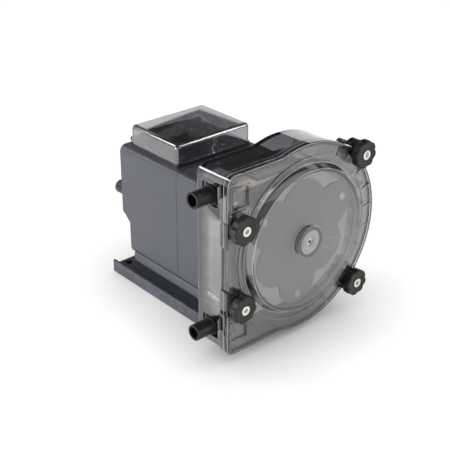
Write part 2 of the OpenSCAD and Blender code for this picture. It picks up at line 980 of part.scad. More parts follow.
// Clear lid with two hinge knuckles
module lid() {
    color([0.80, 0.82, 0.86, 0.35])
    at_lid_hinge()
    difference() {
        union() {
            difference() {
                translate([0, lid_y, lid_z])
                    soft_box(lid_w, lid_l, lid_h, 4);
                translate([0, lid_y, lid_z - 0.01])
                    soft_box(lid_w - 2 * lid_wall, lid_l - 2 * lid_wall, lid_h - lid_wall, 2.4);
            }
            for (s = [-1, 1]) {
                rod_x(s * 30 - 6, s * 30 + 6, hinge_y, hinge_z, hinge_r);
                box(
                    [s * 30 - 6, lid_y + lid_l / 2 - 1, lid_z + 0.6],
                    [s * 30 + 6, hinge_y, hinge_z + hinge_r]
                );
            }
        }
        rod_x(-40, 40, hinge_y, hinge_z, hinge_pin_r + fit);
    }
}

// Steel pin of the lid hinge
module hinge_pin() {
    color([0.66, 0.66, 0.68])
    rod_x(-37.6, 37.6, hinge_y, hinge_z, hinge_pin_r);
}

// Toggle switch below the panel
module switch_body() {
    color([0.16, 0.16, 0.18])
    translate([toggle_at[0], toggle_at[1], 0])
    difference() {
        union() {
            box([-6.5, -4, tub_floor - tub_t - 10], [6.5, 4, tub_floor - tub_t]);
            rod_z(0, 0, tub_floor - tub_t - 1, tub_floor + 6.5, 3);
        }
        translate([0, 0, tub_floor + 2.5])
            cylinder(h = 5, r1 = 1.6, r2 = 2.45);
        translate([0, 0, tub_floor + 2.6])
            sphere(1.75);
    }
}

// Nut on the toggle switch
module switch_nut() {
    color([0.72, 0.73, 0.75])
    translate([toggle_at[0], toggle_at[1], tub_floor + 0.05])
    difference() {
        cylinder(h = 2, r = 4.8, $fn = 6);
        translate([0, 0, -1])
            cylinder(h = 4, r = 3 + fit);
    }
}

// Lever of the toggle switch
module switch_lever() {
    color([0.80, 0.81, 0.83])
    translate([toggle_at[0], toggle_at[1], tub_floor + 2.6]) {
        sphere(1.6);
        cylinder(h = 8.5, r1 = 0.95, r2 = 1.35);
        translate([0, 0, 8.5])
            sphere(1.7);
    }
}

// Dial resistor below the panel
module dial_body() {
    color([0.24, 0.24, 0.26])
    translate([dial_at[0], dial_at[1], 0])
    difference() {
        union() {
            rod_z(0, 0, tub_floor - tub_t - 9, tub_floor - tub_t, 8);
            rod_z(0, 0, tub_floor - tub_t - 1, tub_floor + 0.2, 3.5);
        }
        rod_z(0, 0, tub_floor - tub_t - 6, tub_floor + 3, 1.5 + fit);
    }
}

// Dial knob with its shaft
module dial_knob() {
    color([0.10, 0.10, 0.11])
    translate([dial_at[0], dial_at[1], 0]) {
        rod_z(0, 0, tub_floor - tub_t - 5.5, tub_floor + 2, 1.5);
        translate([0, 0, tub_floor + 0.9])
            cylinder(h = 1.6, r = 5.6);
        translate([0, 0, tub_floor + 2])
            linear_extrude(height = 8.6)
            difference() {
                circle(4.5);
                for (a = [0:30:330]) {
                    rotate(a)
                        translate([4.9, 0])
                            circle(0.7);
                }
            }
    }
}

// Indicator lamp
module lamp() {
    color([0.60, 0.62, 0.64])
    translate([lamp_at[0], lamp_at[1], 0]) {
        rod_z(0, 0, tub_floor - tub_t - 6, tub_floor + 9, 1.45);
        rod_z(0, 0, tub_floor - tub_t - 6, tub_floor - tub_t, 2.6);
        translate([0, 0, tub_floor + 9])
            sphere(1.45);
    }
}

// Posts between the panel and the circuit board
module board_posts() {
    color([0.72, 0.73, 0.75])
    for (i = [-1, 1], j = [-1, 1]) {
        translate([i * post_at[0], lid_y + j * post_at[1], 0]) {
            rod_z(0, 0, board_z + board_t, tub_floor - tub_t, 2.6);
            rod_z(0, 0, board_z - 2, tub_floor, 1.3);
            rod_z(0, 0, board_z - 2, board_z, 2.4);
            rod_z(0, 0, tub_floor, tub_floor + 1.2, 2.3);
        }
    }
}

// Circuit board hung below the panel
module circuit_board() {
    color([0.10, 0.30, 0.16])
    difference() {
        box([-38, lid_y - 28, board_z], [38, lid_y + 26, board_z + board_t]);
        for (i = [-1, 1], j = [-1, 1]) {
            rod_z(i * post_at[0], lid_y + j * post_at[1], board_z - 1, board_z + 3, 1.35);
        }
    }
}

// Capacitors on the circuit board
module board_capacitors() {
    color([0.14, 0.16, 0.30])
    for (x = [-30, 29]) {
        rod_z(x, lid_y - 8, board_z + board_t, board_z + board_t + 15, 5.5);
    }
}

// Barrel, thread and end contact of the fuse holder
module fuse_holder() {
    color([0.13, 0.13, 0.14])
    translate([fuse_at[0], 0, fuse_at[1]])
    difference() {
        union() {
            rod_y(0, 0, rear_y - 26, rear_y + 2, 4.75);
            rod_y(0, 0, rear_y, rear_y + 2, 6.4);
        }
        rod_y(0, 0, rear_y - 23, rear_y + 3, 3.6);
    }
}

// Glass fuse inside the holder
module fuse() {
    color([0.80, 0.82, 0.80])
    translate([fuse_at[0], 0, fuse_at[1]]) {
        rod_y(0, 0, rear_y - 21, rear_y - 1, 2.3);
        rod_y(0, 0, rear_y - 21, rear_y - 16, 2.6);
        rod_y(0, 0, rear_y - 6, rear_y - 1, 2.6);
    }
}

// Cap that is turned to open the fuse holder
module fuse_cap() {
    color([0.13, 0.13, 0.14])
    translate([fuse_at[0], 0, fuse_at[1]])
    difference() {
        union() {
            rod_y(0, 0, rear_y + 2.3, rear_y + 14, 6);
            rod_y(0, 0, rear_y - 0.5, rear_y + 2.5, 3.3);
        }
        for (a = [0:30:330]) {
            rod_y(6.5 * cos(a), 6.5 * sin(a), rear_y + 4.5, rear_y + 15, 0.9);
        }
        box([-4, rear_y + 13, -0.6], [4, rear_y + 15, 0.6]);
    }
}

// Rubber bush where the supply cord goes in
module cord_inlet() {
    color([0.07, 0.07, 0.07])
    translate([inlet_at[0], 0, inlet_at[1]])
    difference() {
        union() {
            rod_y(0, 0, rear_y - wall - 2, rear_y + 4, 6.1);
            rod_y(0, 0, rear_y, rear_y + 2.5, 8);
            rod_y(0, 0, rear_y - wall - 2, rear_y - wall - 0.1, 7);
        }
        rod_y(0, 0, rear_y - 10, rear_y + 10, 3.6);
    }
}

// Rib between the tube track and the outer wall of the shell
module track_rib(a, width) {
    rotate(a)
        translate([track_r + track_wall - 0.5, -width / 2])
            square([head_r - edge_in - shell_wall - track_r - track_wall + 1, width]);
}

// Clear head shell with the tube track
module head_shell() {
    color([0.62, 0.64, 0.68, 0.40])
    on_axis()
    difference() {
        union() {
            difference() {
                union() {
                    slab(shell_y, wall_y)
                        flange_outline(0);
                    slab(wall_y - 1, head_back)
                        head_outline(edge_in);
                }
                slab(shell_y - 1, floor_y)
                    head_outline(edge_in + shell_wall);
            }
            slab(wall_y - 1, floor_y + 1)
            difference() {
                union() {
                    track_shape(track_r + track_wall, 46);
                    for (a = [-80:14.2:80]) {
                        track_rib(a, 1.4);
                    }
                }
                track_shape(track_r, 90);
            }
            for (j = [-1, 1]) {
                rod_y(knob_left[0], j * knob_left[1], wall_y - 1, head_back, 5.4);
                rod_y(knob_right[0], j * knob_right[1], wall_y - 1, wall_y + 13, 5.4);
                box(
                    [block_x0 - 1, block_y0, j * (port_z - block_w / 2 - 1.1) - 0.9],
                    [block_x1, floor_y + 1, j * (port_z - block_w / 2 - 1.1) + 0.9]
                );
                box(
                    [block_x0 - 1, block_y0, j * (port_z + block_w / 2 + 1.1) - 0.9],
                    [block_x1, floor_y + 1, j * (port_z + block_w / 2 + 1.1) + 0.9]
                );
            }
            for (k = [-2:2]) {
                box([-head_left + 2, wall_y, k * 17.4 - 0.8], [-head_left + 7, floor_y + 1, k * 17.4 + 0.8]);
            }
        }
        for (j = [-1, 1]) {
            box(
                [-head_left - 1, block_y0, j * port_z - block_w / 2 - 0.1],
                [-head_left + edge_in + shell_wall + 1, block_y1 + 0.1, j * port_z + block_w / 2 + 0.1]
            );
            rod_y(knob_left[0], j * knob_left[1], shell_y - 1, head_back - 2, 2.4);
            rod_y(knob_right[0], j * knob_right[1], shell_y - 1, wall_y + 14, 2.4);
        }
        rod_y(0, 0, floor_y - 1, head_back + 1, 11);
        for (p = head_screw) {
            rod_y(p[0], p[1], floor_y - 1, head_back + 1, 2.1);
            cone_y(p[0], p[1], floor_y - 0.01, floor_y + 2.2, 4.1, 2.1);
        }
        for (j = [-1, 1]) {
            box(
                [-head_left - 1, shell_y - 1, j * 38.5 - 0.5],
                [-head_left + 1.2, wall_y, j * 38.5 + 0.5]
            );
        }
    }
}

// Countersunk screws that hold the head shell to the gear housing
module head_screws() {
    color([0.62, 0.62, 0.64])
    on_axis()
    for (p = head_screw) {
        difference() {
            union() {
                cone_y(p[0], p[1], floor_y + 0.1, floor_y + 2.1, 4, 2);
                rod_y(p[0], p[1], floor_y + 2, head_back + 11, 2);
            }
            translate([p[0], floor_y + 1.2, p[1]])
                rotate([90, 0, 0])
                    cylinder(h = 2, r = 1.4, $fn = 6);
        }
    }
}

// Clear cover with the dome, the bearing hub and the moulded ribs
module head_cover() {
    color([0.66, 0.68, 0.70, 0.40])
    on_axis()
    difference() {
        union() {
            slab(face_y, shell_y)
            difference() {
                flange_outline(0);
                circle(dome_base - dome_wall, $fn = 180);
            }
            translate([0, shell_y, 0])
                rotate([90, 0, 0])
                    rotate_extrude($fn = 180)
                        polygon([
                            [dome_base - dome_wall, 0],
                            [dome_base, 0],
                            [dome_base, cover_t],
                            [dome_r, cover_t + dome_out],
                            [hub_r, cover_t + dome_out],
                            [hub_r, cover_t + hub_out],
                            [bush_r + 0.03, cover_t + hub_out],
                            [bush_r + 0.03, cover_t - 1],
                            [hub_r, cover_t - 1],
                            [hub_r, cover_t + dome_out - dome_wall],
                            [dome_r - dome_wall, cover_t + dome_out - dome_wall]
                        ]);
            slab(face_y - 1, face_y + 0.5)
            difference() {
                flange_outline(0.4);
                flange_outline(2.2);
            }
            slab(face_y - 0.8, face_y + 0.5)
            difference() {
                circle(dome_base + 6, $fn = 180);
                circle(dome_base + 4.6, $fn = 180);
            }
            for (a = [-66:14.2:66]) {
                slab(face_y - 0.9, face_y + 0.5)
                    rotate(a)
                        translate([dome_base + 6.5, -0.6])
                            square([head_r - 2 - dome_base - 6.5, 1.2]);
            }
            for (j = [-1, 1]) {
                slab(face_y - 1, face_y + 0.5)
                    translate([knob_left[0] + 0.8, j * knob_left[1]])
                        rounded_rect(17, 25, 3);
                slab(face_y - 0.6, face_y + 0.5)
                    translate([(block_x0 + block_x1) / 2 + 1, j * port_z])
                        difference() {
                            square(19, center = true);
                            square(16, center = true);
                        }
            }
        }
        for (j = [-1, 1]) {
            rod_y(knob_left[0], j * knob_left[1], face_y - 2, shell_y + 1, 2.55);
            rod_y(knob_right[0], j * knob_right[1], face_y - 2, shell_y + 1, 2.55);
            box(
                [block_x0 + 1.6, face_y - 2, j * port_z - 7.4],
                [block_x1 + 0.6, face_y + 1.4, j * port_z + 7.4]
            );
            box(
                [-head_left - 1, face_y - 2, j * 38.5 - 0.5],
                [-head_left + 1.2, shell_y + 1, j * 38.5 + 0.5]
            );
        }
    }
}

// Plain bearing in the cover hub
module cover_bearing() {
    color([0.82, 0.82, 0.80])
    on_axis()
    difference() {
        union() {
            rod_y(0, 0, face_y - hub_out + 0.5, shell_y - 2, bush_r);
            rod_y(0, 0, face_y - hub_out + 0.1, face_y - hub_out + 1, 7.6);
        }
        rod_y(0, 0, face_y - hub_out - 1, shell_y, journal_r);
        rod_y(0, 0, face_y - hub_out - 1, face_y - hub_out + 0.5, 5.2);
    }
}

// Fluted knob at X and Z
module knob_at(x, z) {
    color([0.10, 0.10, 0.10])
    on_axis()
    difference() {
        union() {
            slab(face_y - 1.1 - knob_t, face_y - 1.1 - 2.2)
            translate([x, z])
            difference() {
                circle(knob_d / 2);
                for (k = [0:knob_flutes - 1]) {
                    rotate(k * 360 / knob_flutes + 12)
                        translate([knob_d / 2 + 1, 0])
                            circle(2.4);
                }
            }
            rod_y(x, z, face_y - 1.1 - 2.3, face_y - 1.1, knob_d / 2 - 3);
        }
        rod_y(x, z, face_y - knob_t - 2, face_y, 2.4);
        rod_y(x, z, face_y - knob_t - 2, face_y - knob_t + 1.6, 3.95);
    }
}

// Stud of a fluted knob at X and Z
module stud_at(x, z) {
    color([0.78, 0.78, 0.76])
    on_axis()
    difference() {
        union() {
            rod_y(x, z, face_y - knob_t - 1.4, face_y - knob_t + 1.6, 3.9);
            rod_y(x, z, face_y - knob_t, wall_y + 12, 2.3);
        }
        translate([x, face_y - knob_t + 0.8, z])
            rotate([90, 0, 0])
                cylinder(h = 4, r = 1.9, $fn = 6);
    }
}

// Upper left knob
module knob_upper_left() {
    knob_at(knob_left[0], knob_left[1]);
}

// Lower left knob
module knob_lower_left() {
    knob_at(knob_left[0], -knob_left[1]);
}

// Upper right knob
module knob_upper_right() {
    knob_at(knob_right[0], knob_right[1]);
}

// Lower right knob
module knob_lower_right() {
    knob_at(knob_right[0], -knob_right[1]);
}

// Stud of the upper left knob
module stud_upper_left() {
    stud_at(knob_left[0], knob_left[1]);
}

// Stud of the lower left knob
module stud_lower_left() {
    stud_at(knob_left[0], -knob_left[1]);
}

// Stud of the upper right knob
module stud_upper_right() {
    stud_at(knob_right[0], knob_right[1]);
}

// Stud of the lower right knob
module stud_lower_right() {
    stud_at(knob_right[0], -knob_right[1]);
}

// Outline of a rotor plate: a lobe round each pin and a smaller one between
module rotor_shape() {
    for (k = [0:2]) {
        rotate(rotor_turn + k * 120)
            translate([lobe_at, 0])
                circle(lobe_r, $fn = 120);
        rotate(rotor_turn + 60 + k * 120)
            translate([between_at, 0])
                circle(between_r, $fn = 120);
    }
}

// Holes for the roller pins in a rotor plate
module rotor_pin_holes(y0, y1) {
    for (k = [0:2]) {
        a = rotor_turn + k * 120;
        rod_y(pin_orbit * cos(a), pin_orbit * sin(a), y0, y1, pin_r + fit);
    }
}

// Front plate of the rotor, with a thin round guard behind its lobes
module rotor_front_plate() {
    color([0.50, 0.50, 0.50])
    on_axis()
    difference() {
        union() {
            slab(plate_front, plate_front + plate_t - guard_t / 2)
                rotor_shape();
            slab(plate_front + plate_t - guard_t, plate_front + plate_t)
                circle(guard_r, $fn = 180);
        }
        rod_y(0, 0, plate_front - 1, plate_front + plate_t + 1, shaft_r + fit);
        rotor_pin_holes(plate_front - 1, plate_front + plate_t + 1);
    }
}

// Rear plate of the rotor
module rotor_rear_plate() {
    color([0.50, 0.50, 0.50])
    on_axis()
    difference() {
        slab(plate_rear, plate_rear + plate_t)
            rotor_shape();
        rod_y(0, 0, plate_rear - 1, plate_rear + plate_t + 1, shaft_r + fit);
        rotor_pin_holes(plate_rear - 1, plate_rear + plate_t + 1);
    }
}

// Hub between the rotor plates
module rotor_hub() {
    color([0.56, 0.56, 0.56])
    on_axis()
    difference() {
        rod_y(0, 0, plate_front + plate_t, plate_rear, rotor_hub_r);
        difference() {
            rod_y(0, 0, plate_front, plate_rear + 1, shaft_r + fit);
            box([flat_x + fit, plate_front - 1, -shaft_r - 1], [shaft_r + 1, plate_rear + 2, shaft_r + 1]);
        }
    }
}

// Headed pins that carry the rollers
module roller_pins() {
    color([0.74, 0.74, 0.76])
    on_axis()
    for (k = [0:2]) {
        a = rotor_turn + k * 120;
        rod_y(pin_orbit * cos(a), pin_orbit * sin(a), plate_front - 1.1, plate_front, 3.4);
        rod_y(pin_orbit * cos(a), pin_orbit * sin(a), plate_front - 0.5, plate_rear + plate_t, pin_r);
    }
}

// One roller at an angle round the rotor
module roller_at(a) {
    color([0.74, 0.72, 0.66])
    on_axis()
    translate([pin_orbit * cos(a), 0, pin_orbit * sin(a)])
    difference() {
        rod_y(0, 0, roller_y0, roller_y1, roller_r);
        rod_y(0, 0, roller_y0 - 1, roller_y1 + 1, pin_r + fit);
    }
}

// First roller
module roller_first() {
    roller_at(rotor_turn);
}

// Second roller
module roller_second() {
    roller_at(rotor_turn + 120);
}

// Third roller
module roller_third() {
    roller_at(rotor_turn + 240);
}

// Flat oval drawn in the radial and the Y direction
module oval(t, w, sides = 32) {
    square([t, w - t], center = true);
    for (j = [-1, 1]) {
        translate([0, j * (w - t) / 2])
            circle(t / 2, $fn = sides);
    }
}

// Short length of a tube leg that starts at x and runs to the left, drawn in Z and Y
module leg_piece(x, z, length) {
    translate([x, tube_y, z])
        rotate([0, -90, 0])
            linear_extrude(height = length)
                children();
}

// Change from the pressed section to the round one
module leg_change(t, w, r, sides) {
    hull() {
        leg_piece(press_x, press_z, leg_lap)
            oval(t - 2 * leg_ease, w - 2 * leg_ease, sides);
        leg_piece(round_x, port_z, leg_lap)
            circle(r - leg_ease, $fn = 32);
    }
}

// One leg of the tube, upper side
module tube_leg() {
    difference() {
        union() {
            leg_piece(0, press_z, leg_lap - press_x)
                oval(nip_t, press_w);
            leg_change(nip_t, press_w, tube_r, 32);
            rod_x(block_x1 + 0.2, round_x, tube_y, port_z, tube_r);
        }
        leg_piece(1, press_z, leg_lap - press_x + 1)
            oval(slit_t, slit_w);
        leg_change(slit_t, slit_w, bore_r, 12);
        rod_x(block_x1 - 1, round_x, tube_y, port_z, bore_r);
    }
}

// Pumping tube, pressed flat along the track where the rollers pass
module pump_tube() {
    color([0.78, 0.74, 0.66])
    on_axis() {
        translate([0, tube_y, 0])
            rotate([90, 0, 0])
                rotate([0, 0, -90])
                    rotate_extrude(angle = 180, $fn = 120)
                        translate([press_z, 0])
                            difference() {
                                oval(nip_t, press_w);
                                oval(slit_t, slit_w);
                            }
        tube_leg();
        mirror([0, 0, 1])
            tube_leg();
    }
}

// Barbed stub that clips into the left wall of the head
module port_fitting(z) {
    color([0.13, 0.13, 0.14])
    on_axis()
    translate([0, 0, z])
    difference() {
        union() {
            rod_x(-head_left - stub_reach, block_x0 + 1, tube_y, 0, stub_od / 2);
            rod_x(-head_left, block_x0 + 1, tube_y, 0, collar_r);
            box([block_x0, block_y0 + 0.1, -block_w / 2], [block_x1, block_y1, block_w / 2]);
            rod_x(block_x1 - 1, block_x1 + tail_l, tube_y, 0, tail_r);
        }
        rod_x(-head_left - stub_reach - 1, block_x0 + 6, tube_y, 0, stub_bore / 2);
        rod_x(block_x0, block_x1 + tail_l + 1, tube_y, 0, tail_r - 0.8);
    }
}

// Upper fitting
module upper_fitting() {
    port_fitting(port_z);
}

// Lower fitting
module lower_fitting() {
    port_fitting(-port_z);
}

// Clamp rings that hold the tube on the fittings
module tube_clamps() {
    color([0.70, 0.71, 0.72])
    on_axis()
    for (j = [-1, 1]) {
        difference() {
            rod_x(clamp_x, clamp_x + clamp_w, tube_y, j * port_z, tube_r + 1);
            rod_x(clamp_x - 1, clamp_x + clamp_w + 1, tube_y, j * port_z, tube_r + fit);
        }
    }
}

base_plate();
pedestal();
base_screws();
gear_housing();
motor_housing();
housing_screws();
shaft_bush();
shaft_seal();
gearbox_plate();
gearbox_pillars();
gearbox_screws();
output_gear();
idler_gear();
idler_pin();
output_shaft();
motor_can();
motor_screws();
motor_magnets();
motor_armature();
motor_cap();
control_panel();
panel_screws();
lid();
hinge_pin();
switch_body();
switch_nut();
switch_lever();
dial_body();
dial_knob();
lamp();
board_posts();
circuit_board();
board_capacitors();
fuse_holder();
fuse();
fuse_cap();
cord_inlet();
head_shell();
head_screws();
head_cover();
cover_bearing();
knob_upper_left();
knob_lower_left();
knob_upper_right();
knob_lower_right();
stud_upper_left();
stud_lower_left();
stud_upper_right();
stud_lower_right();
rotor_front_plate();
rotor_rear_plate();
rotor_hub();
roller_pins();
roller_first();
roller_second();
roller_third();
pump_tube();
upper_fitting();
lower_fitting();
tube_clamps();
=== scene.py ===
import bmesh
import bpy
import math
from mathutils import Matrix, Vector


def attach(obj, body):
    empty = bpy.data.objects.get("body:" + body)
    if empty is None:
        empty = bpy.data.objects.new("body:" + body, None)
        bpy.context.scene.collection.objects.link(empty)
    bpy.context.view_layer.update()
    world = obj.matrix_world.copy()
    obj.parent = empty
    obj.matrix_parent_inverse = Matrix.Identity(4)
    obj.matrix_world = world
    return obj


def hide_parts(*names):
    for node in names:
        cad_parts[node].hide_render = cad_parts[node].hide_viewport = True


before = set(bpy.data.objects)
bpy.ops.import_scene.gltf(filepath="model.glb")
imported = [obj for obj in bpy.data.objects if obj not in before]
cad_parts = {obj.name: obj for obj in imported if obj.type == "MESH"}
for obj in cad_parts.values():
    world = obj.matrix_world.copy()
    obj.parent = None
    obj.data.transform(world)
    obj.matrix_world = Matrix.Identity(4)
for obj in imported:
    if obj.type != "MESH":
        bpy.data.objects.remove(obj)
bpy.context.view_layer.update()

# Camera.
# A long lens stands to the left of the pump and a little above it. Its place, its turn and
# its focal length were fitted to the edges of the head and of the drive housing.
camera_place = Vector((-0.48303, -0.56771, 0.43783))
camera_turn, camera_tilt, camera_roll = (math.radians(a) for a in (41.287, 27.237, 0.205))
camera_lens = 77.74

look = Vector((
    math.sin(camera_turn) * math.cos(camera_tilt),
    math.cos(camera_turn) * math.cos(camera_tilt),
    -math.sin(camera_tilt),
))
level_right = Vector((math.cos(camera_turn), -math.sin(camera_turn), 0))
level_up = level_right.cross(look)
camera_right = level_right * math.cos(camera_roll) + level_up * math.sin(camera_roll)
camera_up = level_up * math.cos(camera_roll) - level_right * math.sin(camera_roll)
camera = bpy.data.objects.new("photo_camera", bpy.data.cameras.new("photo_camera"))
camera.data.lens = camera_lens
camera.data.sensor_width = 36
camera.data.clip_start = 0.01
camera.matrix_world = Matrix.Translation(camera_place) @ Matrix(
    (camera_right, camera_up, -look)).transposed().to_4x4()
bpy.context.scene.collection.objects.link(camera)
bpy.context.scene.camera = camera
bpy.context.scene.view_settings.view_transform = "Standard"


# Studio.
# The pump stands on a white table that runs on into a white backdrop. A large softbox lights
# it from the left, a weaker one from the front, and the ceiling above is dark.
def node(tree, kind, feeds=None, **settings):
    """Add a node, set its properties and feed its sockets with values or with other sockets."""
    made = tree.nodes.new(kind)
    for key, value in settings.items():
        setattr(made, key, value)
    for key, value in (feeds or {}).items():
        if isinstance(value, bpy.types.NodeSocket):
            tree.links.new(value, made.inputs[key])
        else:
            made.inputs[key].default_value = value
    return made


def sums(tree, kind, *values):
    """Result of a math node on numbers or sockets."""
    return node(tree, "ShaderNodeMath", dict(enumerate(values)), operation=kind).outputs[0]


def sees_background(tree):
    """Value of 1 for rays that go straight to the eye, or to it through gloss or clear plastic."""
    path = node(tree, "ShaderNodeLightPath")
    seen = path.outputs["Is Camera Ray"]
    for other in ("Is Glossy Ray", "Is Transmission Ray"):
        seen = sums(tree, "MAXIMUM", seen, path.outputs[other])
    return seen


backdrop_top = 0.345
backdrop_blend = 0.01
ceiling_glow = 0.04
room_light = 0.45

room = bpy.data.worlds.new("studio")
bpy.context.scene.world = room
room.use_nodes = True
tree = room.node_tree
tree.nodes.clear()
direction = node(tree, "ShaderNodeTexCoord").outputs["Generated"]
height = node(tree, "ShaderNodeSeparateXYZ", {0: direction}).outputs["Z"]
backdrop = node(tree, "ShaderNodeMapRange", {
    "Value": height, "From Min": backdrop_top - backdrop_blend, "From Max": backdrop_top,
    "To Min": 1.0, "To Max": ceiling_glow})
spill = sums(tree, "MULTIPLY", backdrop.outputs[0], room_light)
seen_side = node(tree, "ShaderNodeBackground", {"Color": (1, 1, 1, 1), "Strength": backdrop.outputs[0]})
light_side = node(tree, "ShaderNodeBackground", {"Color": (1, 1, 1, 1), "Strength": spill})
room_mix = node(tree, "ShaderNodeMixShader", {
    0: sees_background(tree), 1: light_side.outputs[0], 2: seen_side.outputs[0]})
node(tree, "ShaderNodeOutputWorld", {"Surface": room_mix.outputs[0]})


def softbox(name, place, aim, size, power):
    """Square lamp at a place in metres, turned to face a point."""
    lamp = bpy.data.lights.new(name, "AREA")
    lamp.size = size
    lamp.energy = power
    held = bpy.data.objects.new(name, lamp)
    held.location = place
    held.rotation_mode = "QUATERNION"
    held.rotation_quaternion = (Vector(aim) - Vector(place)).to_track_quat("-Z", "Y")
    bpy.context.scene.collection.objects.link(held)


softbox("left_softbox", (-1.8, 0.30, 0.42), (0, 0, 0.06), 0.9, 38)
softbox("front_softbox", (0.25, -1.9, 0.42), (0, 0, 0.08), 0.9, 18)
softbox("front_strip", (1.06, -0.82, 1.28), (0, 0, 0.08), 0.4, 4.5)
softbox("rear_strip", (-0.82, 1.20, 1.14), (0, 0, 0.08), 0.4, 4.5)

table_reach = 6.0
table_tone = 0.30
table_light = 0.93
painted_shadow_reach = 0.08
table_mesh = bpy.data.meshes.new("table")
table_mesh.from_pydata(
    [(-table_reach, -table_reach, 0), (table_reach, -table_reach, 0),
     (table_reach, table_reach, 0), (-table_reach, table_reach, 0)], [], [(0, 1, 2, 3)])
table = bpy.data.objects.new("table", table_mesh)
bpy.context.scene.collection.objects.link(table)
table_paint = bpy.data.materials.new("table_paint")
table_paint.use_nodes = True
tree = table_paint.node_tree
tree.nodes.clear()
matt_white = node(tree, "ShaderNodeBsdfDiffuse", {"Color": (table_tone, table_tone, table_tone, 1)})
# Painted contact shadow: ambient occlusion near the pump darkens the table's glow for the eye.
painted_contact_shadow = node(tree, "ShaderNodeAmbientOcclusion", {"Distance": painted_shadow_reach}, samples=8)
table_glow = sums(tree, "MULTIPLY", sees_background(tree), table_light)
table_glow = sums(tree, "MULTIPLY", table_glow, painted_contact_shadow.outputs["AO"])
glow = node(tree, "ShaderNodeEmission", {"Color": (1, 1, 1, 1), "Strength": table_glow})
both = node(tree, "ShaderNodeAddShader", {0: matt_white.outputs[0], 1: glow.outputs[0]})
node(tree, "ShaderNodeOutputMaterial", {"Surface": both.outputs[0]})
table_mesh.materials.append(table_paint)


# Base plate.
# A moulded tray of grey plastic with a rail along each side. Its edges are rounded by the
# tool, and it is bolted to the bench through the four bosses.
def moulded_grain():
    """Surface of moulded plastic: a fine spark-eroded grain over slow ripples from cooling."""
    tree = bpy.data.node_groups.new("moulded_grain", "ShaderNodeTree")
    face = tree.interface
    for name, start in (("Grain Size", 0.0005), ("Ripple", 0.3), ("Tone Range", 0.1),
                        ("Roughness", 0.4), ("Roughness Range", 0.1)):
        face.new_socket(name, in_out="INPUT", socket_type="NodeSocketFloat").default_value = start
    for name in ("Tone", "Roughness", "Height"):
        face.new_socket(name, in_out="OUTPUT", socket_type="NodeSocketFloat")
    given = node(tree, "NodeGroupInput").outputs
    place = node(tree, "ShaderNodeTexCoord").outputs["Object"]
    pitch = sums(tree, "DIVIDE", 1.0, given["Grain Size"])
    grain = node(tree, "ShaderNodeTexNoise", {"Vector": place, "Scale": pitch, "Detail": 3.0})
    sink = node(tree, "ShaderNodeTexNoise", {"Vector": place, "Scale": 38.0, "Detail": 2.0})
    smear = node(tree, "ShaderNodeTexNoise", {
        "Vector": place, "Scale": 150.0, "Detail": 5.0, "Roughness": 0.65})
    slow = sums(tree, "MULTIPLY", sink.outputs[0], given["Ripple"])
    height = sums(tree, "ADD", grain.outputs[0], slow)
    cloud = sums(tree, "SUBTRACT", sums(tree, "ADD", smear.outputs[0], sink.outputs[0]), 1.0)
    tone = sums(tree, "MULTIPLY_ADD", cloud, given["Tone Range"], 1.0)
    gloss = sums(tree, "MULTIPLY_ADD", cloud, given["Roughness Range"], given["Roughness"])
    node(tree, "NodeGroupOutput", {"Tone": tone, "Roughness": gloss, "Height": height})
    return tree


def worn_edges():
    """Mask of 1 on edges that hands and tools rub, broken up so that no edge is even."""
    tree = bpy.data.node_groups.new("worn_edges", "ShaderNodeTree")
    face = tree.interface
    face.new_socket("Amount", in_out="INPUT", socket_type="NodeSocketFloat").default_value = 0.5
    face.new_socket("Mask", in_out="OUTPUT", socket_type="NodeSocketFloat")
    given = node(tree, "NodeGroupInput").outputs
    place = node(tree, "ShaderNodeTexCoord").outputs["Object"]
    bulge = node(tree, "ShaderNodeNewGeometry").outputs["Pointiness"]
    sharp = node(tree, "ShaderNodeMapRange", {"Value": bulge, "From Min": 0.53, "From Max": 0.62})
    patch = node(tree, "ShaderNodeTexNoise", {
        "Vector": place, "Scale": 220.0, "Detail": 4.0, "Roughness": 0.7})
    bite = node(tree, "ShaderNodeMapRange", {
        "Value": patch.outputs[0], "From Min": 0.4, "From Max": 0.65})
    worn = sums(tree, "MULTIPLY", sharp.outputs[0], bite.outputs[0])
    worn = sums(tree, "MULTIPLY", worn, given["Amount"])
    node(tree, "NodeGroupOutput", {"Mask": worn})
    return tree


grain_group = moulded_grain()
wear_group = worn_edges()


def skinned(name, colour, bump, depth, looks):
    """New material whose tone, gloss and relief come from the grain, and its main shader."""
    paint = bpy.data.materials.new(name)
    paint.use_nodes = True
    tree = paint.node_tree
    shader = tree.nodes["Principled BSDF"]
    skin = node(tree, "ShaderNodeGroup", looks, node_tree=grain_group)
    level = node(tree, "ShaderNodeCombineColor", {i: skin.outputs["Tone"] for i in range(3)})
    tint = node(tree, "ShaderNodeMix", {0: 1.0, 6: (*colour, 1), 7: level.outputs[0]},
                data_type="RGBA", blend_type="MULTIPLY")
    tree.links.new(tint.outputs[2], shader.inputs["Base Color"])
    tree.links.new(skin.outputs["Roughness"], shader.inputs["Roughness"])
    relief = node(tree, "ShaderNodeBump", {"Strength": bump, "Distance": depth,
                                           "Height": skin.outputs["Height"]})
    tree.links.new(relief.outputs[0], shader.inputs["Normal"])
    return paint, shader


def mix_over(tree, shader, mask, colour):
    """Lay a colour over a shader's base colour where a mask is 1."""
    under = shader.inputs["Base Color"].links[0].from_socket
    over = node(tree, "ShaderNodeMix", {0: mask, 6: under, 7: (*colour, 1)}, data_type="RGBA")
    tree.links.new(over.outputs[2], shader.inputs["Base Color"])


